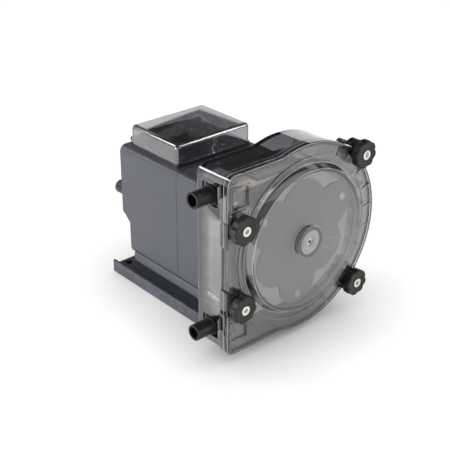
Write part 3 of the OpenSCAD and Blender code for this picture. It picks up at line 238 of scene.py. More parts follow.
def plastic(name, colour, rough, grain=0.0005, bump=0.1, tone=0.12, worn=None, amount=0.0, coat=0.0,
            ior=1.5):
    """Moulded plastic with a grain, an uneven tone and, where hands rub it, paler edges."""
    paint, shader = skinned(name, colour, bump, 0.0002, {
        "Grain Size": grain, "Tone Range": tone, "Roughness": rough})
    if worn:
        tree = paint.node_tree
        rub = node(tree, "ShaderNodeGroup", node_tree=wear_group)
        rub.inputs["Amount"].default_value = amount
        mix_over(tree, shader, rub.outputs["Mask"], worn)
    shader.inputs["IOR"].default_value = ior
    shader.inputs["Coat Weight"].default_value = coat
    shader.inputs["Coat Roughness"].default_value = 0.12
    return paint


MM = 0.001
most_corners = 24
merge_reach = 0.002 * MM
flat_angle, smooth_angle, sharp_angle = (math.radians(a) for a in (0.4, 32, 38))


def whole_copy(cad_node, split=False):
    """CAD node's mesh with its loose triangles joined and each flat face made one face. A face
    with holes in it is split up again where a bevel would leave it unfilled."""
    drawing = bmesh.new()
    drawing.from_mesh(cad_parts[cad_node].data)
    bmesh.ops.remove_doubles(drawing, verts=drawing.verts, dist=merge_reach)
    bmesh.ops.dissolve_limit(drawing, angle_limit=flat_angle, verts=drawing.verts,
                             edges=drawing.edges)
    if split:
        pierced = [face for face in drawing.faces if len(face.verts) > most_corners]
        bmesh.ops.triangulate(drawing, faces=pierced)
    return drawing


def piece(name, drawing, paint, body, stands_for=()):
    """Make a drawing an object with one material, smooth over its curves, that rides on a body."""
    mesh = bpy.data.meshes.new(name)
    drawing.to_mesh(mesh)
    drawing.free()
    mesh.shade_smooth()
    mesh.set_sharp_from_angle(angle=smooth_angle)
    mesh.materials.append(paint)
    made = bpy.data.objects.new(name, mesh)
    bpy.context.scene.collection.objects.link(made)
    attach(made, body)
    if stands_for:
        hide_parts(*stands_for)
    return made


def round_edges(made, width, steps=2, marked=False):
    """Bevel of so many millimetres on a piece's sharp edges, or only on its marked ones."""
    soften = made.modifiers.new("rounded", "BEVEL")
    soften.width = width * MM
    soften.segments = steps
    soften.limit_method = "WEIGHT" if marked else "ANGLE"
    soften.angle_limit = sharp_angle
    soften.harden_normals = True
    soften.use_clamp_overlap = True
    soften.miter_outer = "MITER_ARC"


def mark_edges(drawing, wanted, share=1.0):
    """Give a bevel weight to each sharp edge whose two ends both pass a test, in millimetres."""
    kept = drawing.edges.layers.float
    weight = kept.get("bevel_weight_edge") or kept.new("bevel_weight_edge")
    for edge in drawing.edges:
        if len(edge.link_faces) == 2 and edge.calc_face_angle() > sharp_angle:
            ends = [v.co / MM for v in edge.verts]
            if all(wanted(end) for end in ends):
                edge[weight] = share


base_grey = (0.050, 0.053, 0.070)
base_plastic = plastic("base_plastic", base_grey, 0.42, grain=0.0006, bump=0.15,
                       worn=(0.22, 0.225, 0.25), amount=0.5)
base_tray = piece("base_tray", whole_copy("base_plate"), base_plastic, "housing",
                  ["base_plate"])
round_edges(base_tray, 0.5)

# Pedestal.
# A hollow tapered block of darker plastic between the tray and the housings. It is moulded
# in one piece with two cross ribs, and the base screws run up through its four pillars.
pedestal_plastic = plastic("pedestal_plastic", (0.17, 0.175, 0.205), 0.38, bump=0.12)
pedestal_block = piece("pedestal_block", whole_copy("pedestal", split=True), pedestal_plastic,
                       "housing", ["pedestal"])
round_edges(pedestal_block, 0.8)

# Drive housings.
# Two deep boxes of slate grey plastic with a fine grain, one for the gears and one for the
# motor. Four long screws pull them together at the seam, whose small groove is painted near-black as
# shade.
slate = (0.070, 0.074, 0.090)
# Near-black colour of the painted shade in the seam's groove.
painted_seam_shade = (0.006, 0.006, 0.008)
seam_y, seam_gap = -11.1, 0.36
housing_plastic = plastic("housing_plastic", slate, 0.36, grain=0.0004, bump=0.08, tone=0.08,
                          worn=(0.2, 0.21, 0.25), amount=0.35)
tree = housing_plastic.node_tree
shader = tree.nodes["Principled BSDF"]
place = node(tree, "ShaderNodeTexCoord").outputs["Object"]
along = node(tree, "ShaderNodeSeparateXYZ", {0: place}).outputs["Y"]
# Painted shade: a thin band either side of the seam plane takes the near-black colour.
from_seam = sums(tree, "SUBTRACT", along, seam_y * MM)
seam_shade_mask = sums(tree, "LESS_THAN", sums(tree, "ABSOLUTE", from_seam), seam_gap * MM)
mix_over(tree, shader, seam_shade_mask, painted_seam_shade)
for cad_node, name in (("gear_housing", "gear_box"), ("motor_housing", "motor_box")):
    box = piece(name, whole_copy(cad_node, split=True), housing_plastic, "housing",
                [cad_node])
    round_edges(box, 0.55)

# Base, housing, gearbox, motor and panel screws.
# Zinc plated machine screws with hexagon sockets. The heads have a small chamfer, and each
# kind stands at the places where its holes are.
def turned_metal(name, colour, rough, streak=0.12, grain=0.00025):
    """Bare or plated metal with fine tool marks and a cloudy gloss."""
    paint, shader = skinned(name, colour, 0.08, 0.0001, {
        "Grain Size": grain, "Tone Range": streak, "Roughness": rough, "Roughness Range": 0.25})
    shader.inputs["Metallic"].default_value = 1.0
    return paint


def tree_end(tree, geometry, finish):
    """Close a geometry tree: real geometry in place of instances, with a material on it."""
    real = node(tree, "GeometryNodeRealizeInstances", {0: geometry})
    done = node(tree, "GeometryNodeSetMaterial", {"Geometry": real.outputs[0], "Material": finish})
    node(tree, "NodeGroupOutput", {0: done.outputs[0]})
    return tree


def screw_tree():
    """Geometry nodes that put one screw on each point: head, socket and shank along an axis."""
    tree = bpy.data.node_groups.new("machine_screws", "GeometryNodeTree")
    face = tree.interface
    face.new_socket("Places", in_out="INPUT", socket_type="NodeSocketGeometry")
    for name in ("Head Radius", "Head Height", "Socket Radius", "Shank Radius", "Shank Length"):
        face.new_socket(name, in_out="INPUT", socket_type="NodeSocketFloat").default_value = 0.002
    face.new_socket("Axis Turn", in_out="INPUT", socket_type="NodeSocketVector")
    face.new_socket("Finish", in_out="INPUT", socket_type="NodeSocketMaterial")
    face.new_socket("Screws", in_out="OUTPUT", socket_type="NodeSocketGeometry")
    given = node(tree, "NodeGroupInput").outputs
    head = node(tree, "GeometryNodeMeshCylinder", {"Vertices": 32, "Radius": given["Head Radius"],
                                                   "Depth": given["Head Height"]})
    socket = node(tree, "GeometryNodeMeshCylinder", {"Vertices": 6, "Radius": given["Socket Radius"],
                                                     "Depth": given["Head Height"]})
    lift = node(tree, "ShaderNodeCombineXYZ", {"Z": sums(tree, "MULTIPLY", given["Head Height"], 0.5)})
    head_up = node(tree, "GeometryNodeTransform", {"Geometry": head.outputs["Mesh"],
                                                   "Translation": lift.outputs[0]})
    deep = node(tree, "ShaderNodeCombineXYZ", {"Z": given["Head Height"]})
    socket_up = node(tree, "GeometryNodeTransform", {"Geometry": socket.outputs["Mesh"],
                                                     "Translation": deep.outputs[0]})
    cut = node(tree, "GeometryNodeMeshBoolean", {
        "Mesh 1": head_up.outputs[0], "Mesh 2": socket_up.outputs[0]}, operation="DIFFERENCE")
    shank = node(tree, "GeometryNodeMeshCylinder", {"Vertices": 20, "Radius": given["Shank Radius"],
                                                    "Depth": given["Shank Length"]})
    drop = node(tree, "ShaderNodeCombineXYZ", {"Z": sums(tree, "MULTIPLY", given["Shank Length"], -0.5)})
    shank_down = node(tree, "GeometryNodeTransform", {"Geometry": shank.outputs["Mesh"],
                                                      "Translation": drop.outputs[0]})
    one = node(tree, "GeometryNodeJoinGeometry")
    tree.links.new(cut.outputs[0], one.inputs[0])
    tree.links.new(shank_down.outputs[0], one.inputs[0])
    points = node(tree, "GeometryNodeMeshToPoints", {"Mesh": given["Places"]})
    turn = node(tree, "FunctionNodeEulerToRotation", {0: given["Axis Turn"]})
    placed = node(tree, "GeometryNodeInstanceOnPoints", {
        "Points": points.outputs[0], "Instance": one.outputs[0], "Rotation": turn.outputs[0]})
    return tree_end(tree, placed.outputs[0], given["Finish"])


def grown(name, tree, start, paint, body, slot, stands_for, **sizes):
    """Run a geometry nodes tree on a starting mesh and keep the result as a plain piece."""
    seed = bpy.data.objects.new(name + "_seed", start)
    bpy.context.scene.collection.objects.link(seed)
    made = seed.modifiers.new("grown", "NODES")
    made.node_group = tree
    sizes["Finish"] = paint
    for socket in tree.interface.items_tree:
        if getattr(socket, "in_out", "") == "INPUT" and socket.name in sizes:
            made[socket.identifier] = sizes[socket.name]
    mesh = bpy.data.meshes.new_from_object(seed.evaluated_get(bpy.context.evaluated_depsgraph_get()))
    bpy.data.objects.remove(seed)
    drawing = bmesh.new()
    drawing.from_mesh(mesh)
    bpy.data.meshes.remove(mesh)
    return piece(name, drawing, paint, body, stands_for)


def points_at(places):
    """Mesh of loose points at places in millimetres."""
    mesh = bpy.data.meshes.new("places")
    mesh.from_pydata([Vector(p) * MM for p in places], [], [])
    return mesh


head_bottom, rotor_z = -76.5, 85.0
rear_y, body_low, body_top = 65.0, 21.4, 120.8
lid_y = seam_y + 38
tub_floor = body_top - 2.3
tray_floor = 5.0
body_w, boss_in, screw_sunk = 93.2, 7.2, 3.0
screws = screw_tree()
zinc = turned_metal("zinc_plate", (0.62, 0.61, 0.58), 0.28)
to_rear, to_front, to_ground = (-math.pi / 2, 0, 0), (math.pi / 2, 0, 0), (math.pi, 0, 0)
tower_x, tower_y = (-27, 27), (-50, 40)
corner_x, corner_top, corner_low = body_w / 2 - boss_in, body_top - boss_in, body_low + boss_in
housing_low_head = rear_y - 10.3 - 3.3
plate_y = head_bottom + 55
screw_sets = {
    "base_screws": (
        [(x, y, tray_floor) for x in tower_x for y in tower_y], to_ground,
        (4.0, 2.6, 1.6, 2.2, body_low + 9 - tray_floor)),
    "housing_screws": (
        [(s * corner_x, y, z) for s in (-1, 1)
         for y, z in ((rear_y - screw_sunk, corner_top), (housing_low_head, corner_low))], to_rear,
        (3.4, 2.4, 1.4, 1.7, housing_low_head - seam_y + 10)),
    "gearbox_screws": (
        [(s * 30, plate_y + 2.5, rotor_z + z) for s in (-1, 1) for z in (25, -49)], to_rear,
        (3.0, 2.2, 1.3, 1.55, 56.5)),
    "motor_screws": (
        [(s * 18, plate_y, rotor_z - 30) for s in (-1, 1)], to_front, (2.7, 2.0, 1.2, 1.5, 5.3)),
    "panel_screws": (
        [(s * 30.7, lid_y + t * 22.5, tub_floor) for s in (-1, 1) for t in (-1, 1)], (0, 0, 0),
        (2.3, 1.4, 1.0, 1.25, 6.5)),
}
for cad_node, (places, turn, sizes) in screw_sets.items():
    head_r, head_h, socket_r, shank_r, shank_l = (size * MM for size in sizes)
    made = grown(cad_node + "_set", screws, points_at(places), zinc, "housing", "screw_steel",
                 [cad_node], **{"Head Radius": head_r, "Head Height": head_h, "Socket Radius": socket_r,
                                "Shank Radius": shank_r, "Shank Length": shank_l, "Axis Turn": turn})
    round_edges(made, 0.2)

# Gearbox, motor and shafts.
# Inside the housings: acetal gears on ground steel shafts behind a pressed steel plate, and a
# motor in a plated can with its magnets, armature and moulded end cap.
def smooth_tree():
    """Join a CAD mesh's loose triangles and let light run smoothly over its curves."""
    tree = bpy.data.node_groups.new("joined_smooth", "GeometryNodeTree")
    face = tree.interface
    face.new_socket("Part", in_out="INPUT", socket_type="NodeSocketGeometry")
    face.new_socket("Sharp Angle", in_out="INPUT", socket_type="NodeSocketFloat").default_value = 0.56
    face.new_socket("Part", in_out="OUTPUT", socket_type="NodeSocketGeometry")
    given = node(tree, "NodeGroupInput").outputs
    whole = node(tree, "GeometryNodeMergeByDistance", {
        "Geometry": given["Part"], "Distance": merge_reach})
    soft = node(tree, "GeometryNodeSetShadeSmooth", {"Geometry": whole.outputs[0]}, domain="FACE")
    bend = node(tree, "GeometryNodeInputMeshEdgeAngle").outputs["Unsigned Angle"]
    sharp = node(tree, "FunctionNodeCompare", {0: bend, 1: given["Sharp Angle"]},
                 operation="GREATER_THAN")
    crisp = node(tree, "GeometryNodeSetShadeSmooth", {
        "Geometry": soft.outputs[0], "Selection": sharp.outputs[0], "Shade Smooth": False},
        domain="EDGE")
    node(tree, "NodeGroupOutput", {0: crisp.outputs[0]})
    return tree


joined_smooth = smooth_tree()


def dress(paint, *cad_nodes):
    """Give CAD nodes that keep their own shape a material and smooth curves."""
    for cad_node in cad_nodes:
        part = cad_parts[cad_node]
        for holder in part.material_slots:
            holder.material = paint
        part.modifiers.new("smooth", "NODES").node_group = joined_smooth


acetal = plastic("natural_acetal", (0.80, 0.78, 0.71), 0.32, grain=0.0003, bump=0.05, tone=0.05)
ground_steel = turned_metal("ground_steel", (0.60, 0.60, 0.61), 0.2, streak=0.08)
pressed_steel = turned_metal("pressed_steel", (0.52, 0.53, 0.54), 0.34)
plated_can = turned_metal("plated_can", (0.46, 0.47, 0.49), 0.3)
bronze = turned_metal("sintered_bronze", (0.48, 0.33, 0.15), 0.42, streak=0.35, grain=0.00015)
ferrite = plastic("ferrite", (0.035, 0.034, 0.034), 0.55, grain=0.0002, bump=0.3, tone=0.3)
copper = turned_metal("wound_copper", (0.55, 0.26, 0.13), 0.34, streak=0.3, grain=0.0006)
black_moulding = plastic("black_moulding", (0.022, 0.022, 0.024), 0.34, grain=0.0004, bump=0.08,
                         worn=(0.09, 0.09, 0.095), amount=0.4)
dress(acetal, "output_gear", "idler_gear")
dress(ground_steel, "idler_pin", "output_shaft")
dress(pressed_steel, "gearbox_plate")
dress(zinc, "gearbox_pillars", "head_screws", "board_posts")
dress(plated_can, "motor_can")
dress(ferrite, "motor_magnets")
dress(copper, "motor_armature")
dress(black_moulding, "motor_cap")
dress(bronze, "shaft_bush")

# Circuit board.
# A glass fibre board with green solder mask hangs on four posts below the panel. Copper
# tracks show through the mask, and two capacitors in dark sleeves stand on it.
board_paint = bpy.data.materials.new("solder_mask")
board_paint.use_nodes = True
tree = board_paint.node_tree
shader = tree.nodes["Principled BSDF"]
place = node(tree, "ShaderNodeTexCoord").outputs["Object"]
runs = node(tree, "ShaderNodeTexBrick", {
    "Vector": place, "Scale": 90.0, "Mortar Size": 0.035, "Color1": (0.012, 0.085, 0.035, 1),
    "Color2": (0.010, 0.065, 0.028, 1), "Mortar": (0.03, 0.17, 0.07, 1)})
tree.links.new(runs.outputs["Color"], shader.inputs["Base Color"])
sheen = node(tree, "ShaderNodeMapRange", {"Value": runs.outputs["Fac"], "To Min": 0.22, "To Max": 0.34})
tree.links.new(sheen.outputs[0], shader.inputs["Roughness"])
step = node(tree, "ShaderNodeBump", {"Strength": 0.3, "Distance": 0.0001, "Height": runs.outputs["Fac"]})
tree.links.new(step.outputs[0], shader.inputs["Normal"])
sleeve = plastic("capacitor_sleeve", (0.02, 0.028, 0.085), 0.24, bump=0.04, tone=0.06, coat=0.3)
dress(board_paint, "circuit_board")
dress(sleeve, "board_capacitors")

# Control panel.
# A bezel of black plastic with a shallow tub, clipped in the top of the motor housing. It has
# the hinge block of the lid at its rear.
panel_plastic = plastic("panel_plastic", (0.024, 0.024, 0.030), 0.3, bump=0.08, tone=0.1)
bezel = piece("panel_bezel", whole_copy("control_panel", split=True), panel_plastic, "housing",
              ["control_panel"])
round_edges(bezel, 0.4)
dress(ground_steel, "hinge_pin")

# Toggle switch.
# A small lever switch with a threaded chromed collar through the panel, held by a flat nut.
chrome = turned_metal("bright_chrome", (0.80, 0.81, 0.83), 0.1, streak=0.04)
collar_base = tub_floor - 2.1
switch = piece("toggle_body", whole_copy("switch_body"), black_moulding, "housing",
               ["switch_body"])
switch.data.materials.append(chrome)
for face in switch.data.polygons:
    if face.center.z > collar_base * MM:
        face.material_index = 1
round_edges(switch, 0.2)
nut = piece("toggle_nut", whole_copy("switch_nut"), chrome, "housing",
            ["switch_nut"])
round_edges(nut, 0.25)


def turned(outline, steps=48):
    """Lathe a list of (radius, height) points in millimetres about Z into a closed drawing."""
    drawing = bmesh.new()
    rings = []
    for radius, height in outline:
        if radius < 0.001:
            rings.append([drawing.verts.new((0, 0, height * MM))])
        else:
            rings.append([drawing.verts.new((
                radius * MM * math.cos(2 * math.pi * k / steps),
                radius * MM * math.sin(2 * math.pi * k / steps), height * MM)) for k in range(steps)])
    for low, high in zip(rings, rings[1:]):
        for k in range(steps):
            after = (k + 1) % steps
            corners = (low[k % len(low)], low[after % len(low)],
                       high[after % len(high)], high[k % len(high)])
            drawing.faces.new(list(dict.fromkeys(corners)))
    bmesh.ops.recalc_face_normals(drawing, faces=drawing.faces)
    return drawing


def arc(centre_r, centre_h, radius, start, end, steps=8):
    """Points of an arc in a lathe outline, its angles in degrees from the radius axis."""
    return [(centre_r + radius * math.cos(math.radians(start + (end - start) * k / steps)),
             centre_h + radius * math.sin(math.radians(start + (end - start) * k / steps)))
            for k in range(steps + 1)]


toggle_at = (7.5, lid_y - 22, tub_floor + 2.6)
lever = turned([(0, -1.6)] + arc(0, 0, 1.6, -80, 52, 10) + [(0.95, 1.5), (1.35, 7.6)]
               + arc(0, 8.5, 1.7, -38, 84, 12) + [(0, 10.2)])
bmesh.ops.translate(lever, vec=Vector(toggle_at) * MM, verts=lever.verts)
piece("toggle_lever", lever, chrome, "switch_lever", ["switch_lever"])

# Dial.
# A fluted knob on a resistor shaft, with a white pointer line. Marks are printed round it on
# the panel, a longer one at every fifth.
dial_at = (10.0, lid_y + 9.5)
dress(black_moulding, "dial_body")
dial = piece("dial_grip", whole_copy("dial_knob"), black_moulding, "dial",
             ["dial_knob"])
round_edges(dial, 0.25)
white_ink = plastic("white_ink", (0.80, 0.80, 0.78), 0.5, bump=0.03, tone=0.06)
pointer_size = (0.5, 3.4, 0.12)
pointer_at = (dial_at[0], dial_at[1] + 2.2, tub_floor + 10.62)
pointer = bmesh.new()
bmesh.ops.create_cube(pointer, size=1)
bmesh.ops.scale(pointer, vec=Vector(pointer_size) * MM, verts=pointer.verts)
bmesh.ops.translate(pointer, vec=Vector(pointer_at) * MM, verts=pointer.verts)
round_edges(piece("dial_pointer", pointer, white_ink, "dial"), 0.03)


def scale_tree():
    """Geometry nodes that lay printed marks round a dial, a longer one at every so many."""
    tree = bpy.data.node_groups.new("dial_marks", "GeometryNodeTree")
    face = tree.interface
    face.new_socket("Middle", in_out="INPUT", socket_type="NodeSocketGeometry")
    for name in ("Radius", "Mark Length", "Mark Width", "Ink Height", "Sweep"):
        face.new_socket(name, in_out="INPUT", socket_type="NodeSocketFloat").default_value = 0.001
    for name in ("Marks", "Every"):
        face.new_socket(name, in_out="INPUT", socket_type="NodeSocketInt").default_value = 5
    face.new_socket("Finish", in_out="INPUT", socket_type="NodeSocketMaterial")
    face.new_socket("Scale", in_out="OUTPUT", socket_type="NodeSocketGeometry")
    given = node(tree, "NodeGroupInput").outputs
    line = node(tree, "GeometryNodeMeshLine", {"Count": given["Marks"], "Offset": (0, 0, 0)})
    points = node(tree, "GeometryNodeMeshToPoints", {"Mesh": line.outputs[0]})
    index = node(tree, "GeometryNodeInputIndex").outputs[0]
    share = sums(tree, "DIVIDE", index, sums(tree, "SUBTRACT", given["Marks"], 1.0))
    angle = sums(tree, "MULTIPLY", sums(tree, "SUBTRACT", share, 0.5), given["Sweep"])
    spin = node(tree, "ShaderNodeCombineXYZ", {"Z": angle})
    beat = sums(tree, "FLOORED_MODULO", index, given["Every"])
    stretch = sums(tree, "MULTIPLY_ADD", sums(tree, "LESS_THAN", beat, 0.5), 0.6, 1.0)
    grow = node(tree, "ShaderNodeCombineXYZ", {"X": 1.0, "Y": stretch, "Z": 1.0})
    size = node(tree, "ShaderNodeCombineXYZ", {
        "X": given["Mark Width"], "Y": given["Mark Length"], "Z": given["Ink Height"]})
    bar = node(tree, "GeometryNodeMeshCube", {"Size": size.outputs[0]})
    reach = node(tree, "ShaderNodeCombineXYZ", {"Y": given["Radius"]})
    out = node(tree, "GeometryNodeTransform", {
        "Geometry": bar.outputs[0], "Translation": reach.outputs[0]})
    turn = node(tree, "FunctionNodeEulerToRotation", {0: spin.outputs[0]})
    placed = node(tree, "GeometryNodeInstanceOnPoints", {
        "Points": points.outputs[0], "Instance": out.outputs[0], "Rotation": turn.outputs[0],
        "Scale": grow.outputs[0]})
    middle = node(tree, "GeometryNodeBoundBox", {0: given["Middle"]})
    moved = node(tree, "GeometryNodeTransform", {
        "Geometry": placed.outputs[0], "Translation": middle.outputs["Min"]})
    return tree_end(tree, moved.outputs[0], given["Finish"])


scale_at = (*dial_at, tub_floor + 0.05)
grown("dial_scale", scale_tree(), points_at([scale_at]), white_ink, "housing", "panel", [], **{
    "Radius": 8.6 * MM, "Mark Length": 1.4 * MM, "Mark Width": 0.35 * MM, "Ink Height": 0.1 * MM,
    "Sweep": math.radians(300), "Marks": 11, "Every": 5})

# Lamp.
# A clear rod lens pressed into the panel over a small lamp on the board side.
smoke_tint = (0.50, 0.505, 0.53)


def clear_plastic(name, tint, shadow, rough=0.03, ripple=0.02, clear=1.0, smoke=0.0, gloss=1.1):
    """Clear plastic with moulding ripples. Lamps shine through it, weakened by a tint. Where it
    isn't fully clear the rest is a milky haze, and smoke is what it soaks up per metre."""
    paint, shader = skinned(name, tint, ripple, 0.0002, {
        "Grain Size": 0.0012, "Tone Range": 0.04, "Roughness": rough, "Roughness Range": 0.03,
        "Ripple": 1.2})
    tree = paint.node_tree
    shader.inputs["IOR"].default_value = 1.49
    shader.inputs["Coat Weight"].default_value = 1.0
    shader.inputs["Coat IOR"].default_value = gloss
    shader.inputs["Transmission Weight"].default_value = clear
    through = node(tree, "ShaderNodeBsdfTransparent", {"Color": (*shadow, 1)})
    path = node(tree, "ShaderNodeLightPath")
    either = node(tree, "ShaderNodeMixShader", {
        0: path.outputs["Is Shadow Ray"], 1: shader.outputs[0], 2: through.outputs[0]})
    tree.links.new(either.outputs[0], tree.nodes["Material Output"].inputs["Surface"])
    if smoke:
        soak = node(tree, "ShaderNodeVolumeAbsorption", {"Color": (*smoke_tint, 1), "Density": smoke})
        tree.links.new(soak.outputs[0], tree.nodes["Material Output"].inputs["Volume"])
    return paint


lens_clear = clear_plastic("lamp_lens", (0.86, 0.88, 0.90), (0.9, 0.9, 0.92))
dress(lens_clear, "lamp")

# Lid.
# A clear box of smoked plastic with rounded corners. It swings back on a steel pin in two
# knuckles and keeps splashes off the controls.
lid_clear = clear_plastic("lid_clear", (0.94, 0.94, 0.96), (0.72, 0.72, 0.74), rough=0.01, ripple=0.004,
                          clear=0.99, smoke=520.0, gloss=2.0)
lid = piece("lid_shell", whole_copy("lid"), lid_clear, "lid", ["lid"])
round_edges(lid, 0.5, steps=3)

# Fuse and cord fittings.
# A screw cap with grip ribs closes the fuse holder in the rear wall. The cord goes in through
# a rubber bush beside it.
fuse_grip = piece("fuse_grip", whole_copy("fuse_cap"), black_moulding, "fuse_cap",
                  ["fuse_cap"])
round_edges(fuse_grip, 0.3)
fuse_socket = piece("fuse_socket", whole_copy("fuse_holder"), black_moulding, "housing",
                    ["fuse_holder"])
round_edges(fuse_socket, 0.2)
fuse_glass = clear_plastic("fuse_glass", (0.93, 0.95, 0.93), (0.95, 0.95, 0.95))
dress(fuse_glass, "fuse")
rubber = plastic("soft_rubber", (0.02, 0.02, 0.021), 0.6, grain=0.0003, bump=0.12, tone=0.2)
bush = piece("cord_bush", whole_copy("cord_inlet"), rubber, "housing", ["cord_inlet"])
round_edges(bush, 0.4)
dress(rubber, "shaft_seal")

# Head shell.
# A tray of smoked clear plastic that carries the tube track. Its rims are rounded, ribs
# stiffen its side walls, and four countersunk screws hold it to the gear housing.
head_clear = clear_plastic("head_clear", (0.94, 0.94, 0.95), (0.74, 0.74, 0.75), rough=0.01,
                           ripple=0.004, clear=0.995, smoke=440.0, gloss=1.6)
shell_copy = whole_copy("head_shell")
shell_front, flange_rear, head_rear = -106.5, -102.5, -76.5
ear_at, ear_clear = (56.5, 57.3), 14.0
arc_ends, block_round = -26, 7.2


def on_rim(levels, edge_of_head):
    """Test for a point on one of several levels in Y, outside a left edge, a top edge with
    rounded corners and an arc, and away from the ears that carry the right hand knobs."""
    left, top, arc_r = edge_of_head

    def test(point):
        near = any(abs(point.y - level) < 0.01 for level in levels)
        across, up = point.x, abs(point.z - rotor_z)
        outer = math.hypot(across, up) > arc_r
        if across < arc_ends:
            past_left = min(across + left - block_round, 0)
            past_top = max(up - top + block_round, 0)
            outer = math.hypot(past_left, past_top) > block_round
        off_ears = math.hypot(across - ear_at[0], up - ear_at[1]) > ear_clear
        return near and outer and off_ears
    return test


# Painted highlight: a pale opaque colour laid on the clear pieces' rounded rims.
painted_rim_highlight = plastic("painted_rim_highlight", (0.86, 0.865, 0.88), 0.2, bump=0.02, tone=0.06)
highlight_skin_depth = 0.01


def paint_rim_highlights(made, body, bead=lambda point: False):
    """Pale opaque skin on a clear piece's rounded rims and on its bead: a painted highlight
    that stands in for the light that runs in its walls and comes out there."""
    made.data.materials.append(painted_rim_highlight)
    made.modifiers[0].material = 1
    shaped = made.evaluated_get(bpy.context.evaluated_depsgraph_get())
    drawing = bmesh.new()
    drawing.from_mesh(shaped.to_mesh())
    shaped.to_mesh_clear()
    made.modifiers[0].material = -1
    made.data.materials.pop(index=1)
    plain = [face for face in drawing.faces
             if face.material_index != 1 and not all(bead(point.co / MM) for point in face.verts)]
    bmesh.ops.delete(drawing, geom=plain, context="FACES")
    drawing.normal_update()
    for point in drawing.verts:
        if not point.is_boundary:
            point.co += point.normal * highlight_skin_depth * MM
    for face in drawing.faces:
        face.material_index = 0
    return piece(made.name + "_rims", drawing, painted_rim_highlight, body)


flange_edge, wall_edge = (78.9, 74.5, 78.5), (77.9, 73.5, 77.5)
mark_edges(shell_copy, on_rim((shell_front, flange_rear), flange_edge))
mark_edges(shell_copy, on_rim((head_rear,), wall_edge))
shell = piece("head_tray", shell_copy, head_clear, "housing", ["head_shell"])
round_edges(shell, 0.6, steps=3, marked=True)
# Painted highlight: a pale skin over the shell's rounded rims.
paint_rim_highlights(shell, "housing")

# Head cover.
# The front of the head: one clear moulding with a raised dome, a bearing hub, a bead round
# its rim and small ribs. It is clamped by the four knobs.
cover_clear = clear_plastic("cover_clear", (0.95, 0.95, 0.94), (0.93, 0.93, 0.93), rough=0.01,
                            ripple=0.003, clear=0.98, smoke=240.0, gloss=1.5)
cover_face, dome_front, hub_front = -109.5, -115.3, -117.4
bead_front, small_front, dome_base = cover_face - 1, cover_face - 0.85, 62.0
bead_edge, bead_inner = (78.5, 74.1, 78.1), (76.8, 72.2, 75.6)


def cover_edge(point):
    """Test for a point on the cover's rim, its bead, its dome or its hub."""
    out = math.hypot(point.x, point.z - rotor_z)
    rim = on_rim((shell_front,), flange_edge)(point) or on_rim((bead_front,), bead_edge)(point)
    dome = abs(out - dome_base) < 0.3 and point.y < shell_front - 1
    return rim or dome or point.y < dome_front + 0.01


cover_copy = whole_copy("head_cover")
mark_edges(cover_copy, cover_edge)
mark_edges(cover_copy, lambda point: abs(point.y - small_front) < 0.06, share=0.5)
cover = piece("head_front", cover_copy, cover_clear, "housing", ["head_cover"])
round_edges(cover, 0.5, steps=3, marked=True)
# Painted highlight: a pale skin over the cover's rounded rims and its bead.
paint_rim_highlights(cover, "housing", bead=on_rim((bead_front,), bead_inner))

# Cover bearing.
# A plain bearing of natural plastic in the hub of the cover, round the end of the shaft. A
# grey wiper ring lies round it on the face of the hub.
seal_grey = plastic("seal_grey", (0.16, 0.16, 0.16), 0.5, grain=0.0003, bump=0.05, tone=0.1)
hub_r, bearing_r, ring_proud = 12.4, 10.1, 0.25
wiper = turned([(bearing_r, 0), (hub_r - 0.2, 0)] + arc(hub_r - 0.3, ring_proud - 0.2, 0.2, 0, 90, 4)
               + [(bearing_r, ring_proud), (bearing_r, 0)])
bmesh.ops.remove_doubles(wiper, verts=wiper.verts, dist=0.000001)
bmesh.ops.recalc_face_normals(wiper, faces=wiper.faces)
to_hub = Matrix.Translation(Vector((0, hub_front, rotor_z)) * MM) @ Matrix.Rotation(math.pi / 2, 4, "X")
bmesh.ops.transform(wiper, verts=wiper.verts, matrix=to_hub)
piece("hub_wiper", wiper, seal_grey, "housing")
pale_acetal = plastic("pale_acetal", (0.50, 0.50, 0.485), 0.35, bump=0.05, tone=0.05)
bearing = piece("hub_bearing", whole_copy("cover_bearing"), pale_acetal, "housing",
                ["cover_bearing"])
round_edges(bearing, 0.4)

# Rotor.
# Two grey moulded plates on a hub, with three headed steel pins between them. A paler guard
# disc lies behind the front plate's lobes. The rollers press the tube against the track.
rotor_plastic = plastic("rotor_plastic", (0.115, 0.115, 0.115), 0.45, grain=0.0003, bump=0.04,
                        tone=0.05)
guard_plastic = plastic("guard_plastic", (0.33, 0.33, 0.325), 0.45, grain=0.0003, bump=0.04,
                        tone=0.05)
guard_front = -104.35
for cad_node, name in (("rotor_front_plate", "rotor_front"), ("rotor_rear_plate", "rotor_rear"),
                       ("rotor_hub", "rotor_core")):
    part = piece(name, whole_copy(cad_node), rotor_plastic, "rotor", [cad_node])
    if name == "rotor_front":
        part.data.materials.append(guard_plastic)
        for face in part.data.polygons:
            face.material_index = int(face.center.y > guard_front * MM)
    round_edges(part, 0.3)
round_edges(piece("rotor_pins", whole_copy("roller_pins"), ground_steel, "rotor",
                  ["roller_pins"]), 0.3)
roller_plastic = plastic("roller_plastic", (0.56, 0.54, 0.48), 0.3, bump=0.04, tone=0.05)
for order in ("first", "second", "third"):
    roller = piece(order + "_roller_sleeve", whole_copy("roller_" + order), roller_plastic,
                   order + "_roller", ["roller_" + order])
    round_edges(roller, 0.4)

